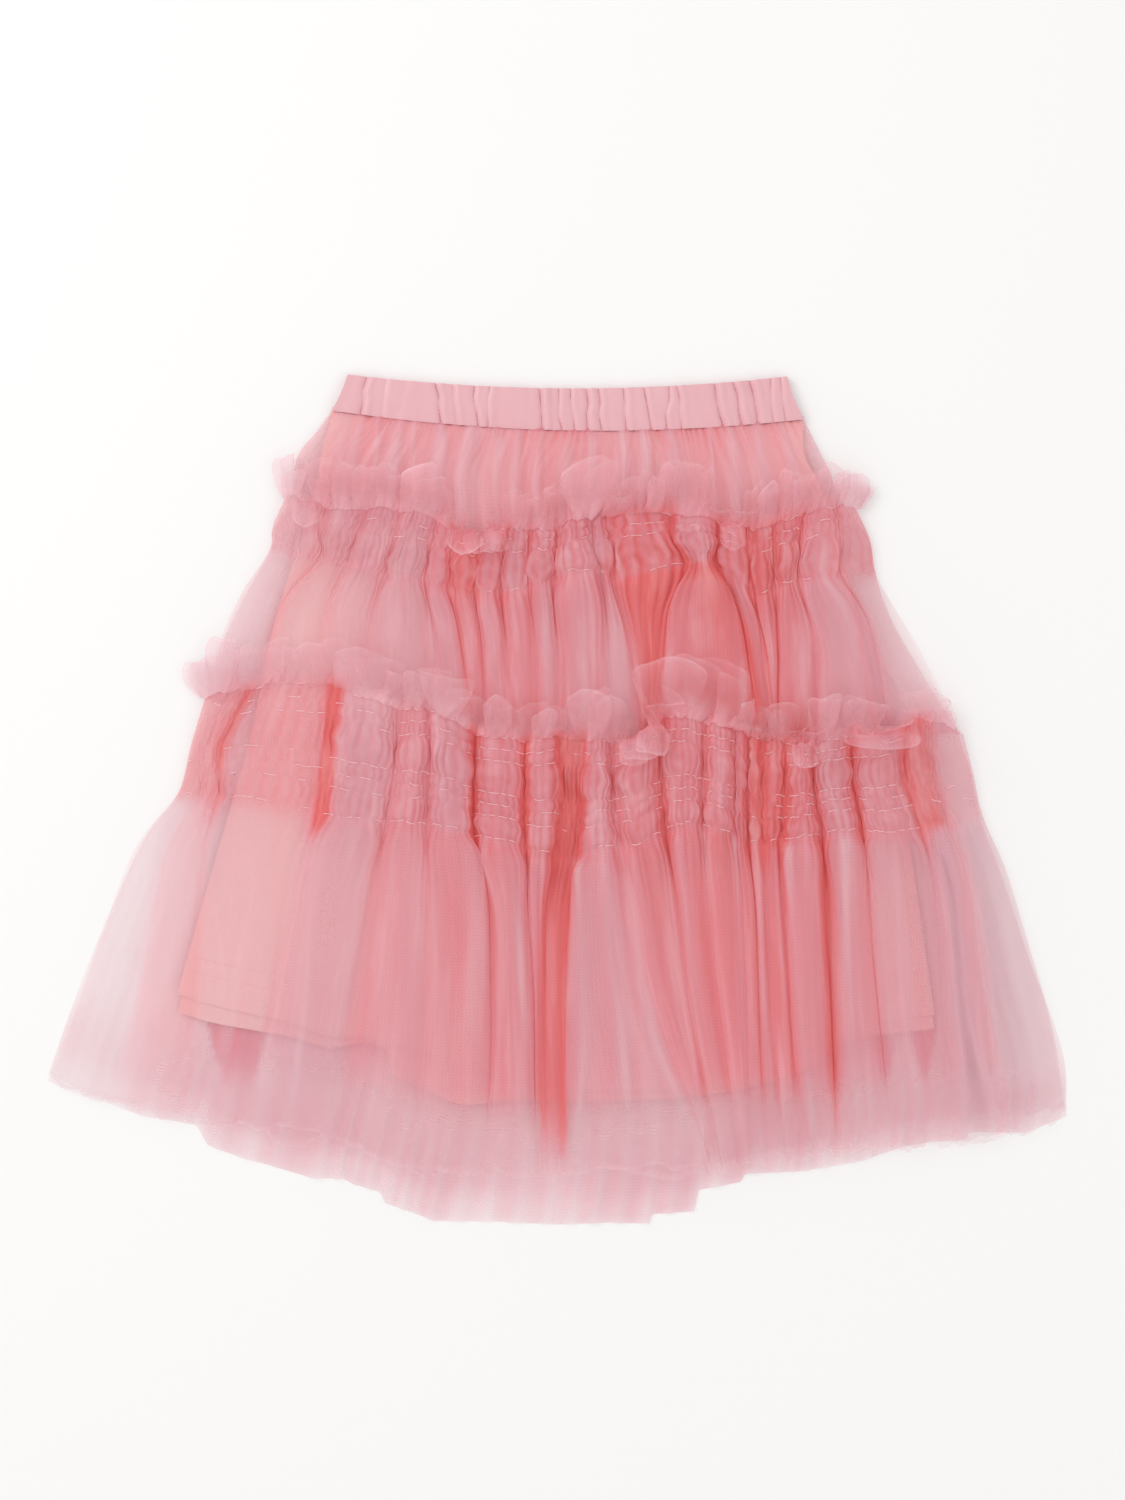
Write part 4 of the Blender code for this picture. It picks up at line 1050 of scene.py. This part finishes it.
for name, lining in linings.items():
    seed, sag, outward = lining["seed"], lining["sag"], lining["outward"]
    x, y, across, down = sectionGrid(liningSections, columns=160, rows=100)
    dome = domeOf(across)
    lift = flow(np.linspace(0.0, 1.0, len(lining["lift"])), lining["lift"], down)
    z = mix(lift * 0.66, lift, dome) + 0.6 * rumple(across * 9.0, down * 2.0, seed) * dome
    z = z + 0.5 * dome * down * wander(across * 14.0 + 0.6 * down, seed + 40)
    uneven = 3.0 * wander(across * 4.0, seed + 50) + np.interp(across, *zip(*lining["drawnUp"]))
    uneven = uneven + 9.0 * bell(across - 0.13, 0.08) + 14.0 * bell(across - 0.9, 0.1)
    y = y + smooth(0.7, 1.0, down) * (uneven - sag - sag * bell(across - 0.36, 0.06))
    # the hem is turned up 14 mm
    z = z + 0.25 * smooth(0.966, 0.972, down)
    cloth = makeCloth(name, x, y, z, {}, liningSatin, outward)
    finishSheet(cloth, "lining_satin", lining["node"], (0.50, 0.50), held="laid",
                rests_on=[lining["under"]])
    lines = []
    # two rows of stitches hold the hem, three and two rows of the grid above its edge
    pitch = 3.9
    for row in (-4, -3):
        walk, placesAt = followLine(x[row], y[row], z[row])
        for at in np.arange(4.0, walk[-1] - 6.0, pitch):
            stitch = placesAt(at + np.array([0.0, 0.7, 2.1, 2.8]))
            stitch[:, 2] += outward * np.array([-0.1, 0.25, 0.25, -0.1])
            lines.append(stitch)
    layThread(name.replace("Satin", "Stitches"), lines, 0.22, lining["node"])

print("yoke")
yoke = {
    # height at shares of its length of 0, 0.33, 0.66 and 1
    "lift": [6.8, 11.0, 12.5, 13.0],
    # folds hanging from the waist seam: x at the seam and at the frill, height, half width
    "folds": [
        (-160, -168, 1.5, 8), (-148, -156, 2.0, 5), (-134, -140, 1.6, 4), (-118, -126, 2.2, 6),
        (-107, -108, 1.2, 4), (-88, -92, 2.2, 7), (-64, -70, 3.0, 9), (-44, -46, 1.5, 6),
        (-30, -34, 1.8, 5), (-13, -15, 1.4, 5), (8, 6, 1.8, 7), (27, 24, 1.8, 5),
        (48, 50, 1.6, 5), (63, 66, 2.0, 7), (86, 90, 2.4, 9), (115, 118, 1.8, 3),
        (131, 138, 2.0, 7), (150, 160, 1.6, 6), (168, 182, 2.2, 5),
    ],
}
x, y, across, down = sectionGrid(yokeSections, columns=420, rows=44)
dome = domeOf(across)
lift = flow([0.0, 0.33, 0.66, 1.0], yoke["lift"], down)
turn = 64.0 * across + 1.6 * rumple(across * 22.0, down * 1.3, 3)
ridge = np.abs(np.sin(np.pi * turn)) ** 1.2
high = np.zeros(x.shape)
for seam, foot, amount, half in yoke["folds"]:
    run = mix(seam, foot, down) + 1.5 * wander(down * 2.2, abs(seam))
    hump = bell(x - run, half * mix(0.45, 1.1, down ** 0.6))
    high = high + 1.4 * amount * hump * (0.75 + 0.25 * np.sin(np.pi * down))
gather = np.exp(-down * 4.0) * (0.6 + 0.6 * wander(across * 31.0, 8))
z = mix(4.0, lift, dome) + dome * (high * mix(0.5, 1.0, smooth(0.0, 0.3, down)) - 1.2)
z = z + dome * (0.35 + 1.5 * gather) * (ridge - 0.4)
z = z + dome * 0.8 * rumple(across * 48.0, down * 2.0, 9)
tuck = 1.0 - smooth(0.0, 0.035, down)
y = y + 3.0 * tuck
z = mix(z, 2.9, 0.9 * tuck)
# raised folds are hazier net with more cover and a paler colour, partly a painted highlight; the
# hollows between the gathers near the seam are warmer, painted shade
hazy = np.clip(high / 2.5, 0.0, 1.0)
between = (1.0 - ridge) * gather
cover = 0.56 + 0.16 * hazy + 0.16 * between + 0.07 * rumple(across * 60.0, down * 1.5, 4)
cover = cover * mix(0.6, 1.0, smooth(0.0, 0.1, np.minimum(across, 1.0 - across)))
depth = 0.42 - 0.36 * hazy + 0.55 * between + 0.08 * rumple(across * 25.0, down * 2.0, 14)
marks = {"cover": np.clip(cover, 0.0, 0.95), "depth": np.clip(depth, 0.0, 0.95)}
cloth = makeCloth("yokeFrontCloth", x, y, z, slopeCover(x, y, z, marks), tulleYoke)
finishSheet(cloth, "tulle", "yoke_front", (0.46, 0.075), rests_on=["lining_front"])

print("casing")
casing = {
    "sections": [
        (-158.4, 319.9, 172.6, 318.4, 9.7), (-163.2, 306.7, 178.1, 302.6, 10.7),
        (-169.9, 293.6, 185.6, 286.9, 11.7),
    ],
    # thickness of the satin with the elastic in it, and x of its middle
    "wall": 2.0,
    "middle": 7,
    # creases drawn in by the elastic: x at the top edge and at the waist seam, depth, half width
    "creases": [
        (-145, -149, 1.5, 2.4), (-130, -132, 0.5, 2.0), (-91, -87, 1.5, 2.2), (-79, -77, 0.9, 2.0),
        (-64, -60, 1.2, 2.0), (-52, -53, 0.7, 1.6), (-14, -11, 1.8, 2.4), (0, 3, 0.8, 1.6),
        (9, 12, 0.9, 1.8), (21, 24, 1.5, 2.2), (31, 33, 1.2, 2.0), (49, 53, 1.3, 2.2),
        (65, 70, 1.2, 1.8), (84, 82, 1.0, 1.8), (91, 95, 1.1, 2.0), (119, 124, 1.7, 2.4),
        (134, 138, 1.9, 2.2), (144, 152, 1.7, 2.4), (160, 163, 0.9, 1.8), (167, 172, 0.8, 1.6),
    ],
}
for name, node, bottom, outward in (("waistbandFrontSatin", "waistband_front", 3.3, 1),
                                    ("waistbandBackSatin", "waistband_back", 0.1, -1)):
    x, y, across, down = sectionGrid(casing["sections"], columns=360, rows=28)
    creased = np.zeros(x.shape)
    for top, foot, amount, half in casing["creases"]:
        if outward < 0:
            # the back's are mirrored and shallower
            top, foot = 2 * casing["middle"] - top, 2 * casing["middle"] - foot
            amount = 0.45 * amount
        away = x - mix(top, foot, down) - 1.2 * wander(down * 3.0, abs(top))
        creased = creased - amount * (1.5 * bell(away, half) - 0.9 * bell(away - 1.9 * half, half))
    ease = 0.65 + 0.35 * np.abs(2.0 * down - 1.0)
    if outward > 0:
        z = bottom + (creased + 0.35 * wander(across * 60.0, 7)) * ease
        z = z + np.sin(np.pi * down) ** 0.6
    else:
        z = bottom - 0.6 * np.minimum(creased, 0.0) * ease
    cloth = makeCloth(name, x, y, z, {}, casingSatin)
    # its edges are crisp folds
    rimmed = bmesh.new()
    rimmed.from_mesh(cloth.data)
    for edge in rimmed.edges:
        edge.smooth = not edge.is_boundary
    rimmed.to_mesh(cloth.data)
    rimmed.free()
    wall = cloth.modifiers.new("wall", "SOLIDIFY")
    wall.thickness = casing["wall"] * mm
    wall.offset = 1.0
    finishSheet(cloth, "casing_satin", node, (0.36, 0.028))

print("studio")
world = bpy.data.worlds.new("studioWorld")
world.use_nodes = True
setInputs(world.node_tree, world.node_tree.nodes["Background"],
          {"Color": (1.0, 1.0, 1.0, 1.0), "Strength": 0.86})
bpy.context.scene.world = world
bpy.context.scene.view_settings.view_transform = "Standard"
bpy.context.scene.cycles.transparent_max_bounces = 24

paper, paperTree, paperShader = newMaterial("whitePaperFloor")
setInputs(paperTree, paperShader, {"Base Color": hexToLinear("#F6F5F4"), "Roughness": 0.9})
sweep = bmesh.new()
bmesh.ops.create_grid(sweep, x_segments=1, y_segments=1, size=6.0)
floorMesh = bpy.data.meshes.new("studioFloor")
sweep.to_mesh(floorMesh)
sweep.free()
floorMesh.materials.append(paper)
floor = placeObject("studioFloor", floorMesh)
# a little below the cloth, so that the two don't flicker
floor.location.z = -0.4 * mm

for name, place, power in (("keySoftbox", (-1.9, 1.2, 1.9), 22.0),
                           ("fillSoftbox", (1.8, -0.6, 2.0), 5.0)):
    lamp = bpy.data.lights.new(name, "AREA")
    lamp.shape = "RECTANGLE"
    lamp.size = lamp.size_y = 1.8
    lamp.energy = power
    light = placeObject(name, lamp)
    light.location = place
    light.rotation_euler = (-Vector(place)).to_track_quat("-Z", "Y").to_euler()

camera = bpy.data.cameras.new("overheadCamera")
camera.lens = 85.0
camera.sensor_fit = "VERTICAL"
camera.sensor_height = 36.0
camera.clip_end = 50.0
cameraStand = placeObject("overheadCamera", camera)
cameraStand.location = (0.00375, 0.0371, 2.6763)
bpy.context.scene.camera = cameraStand
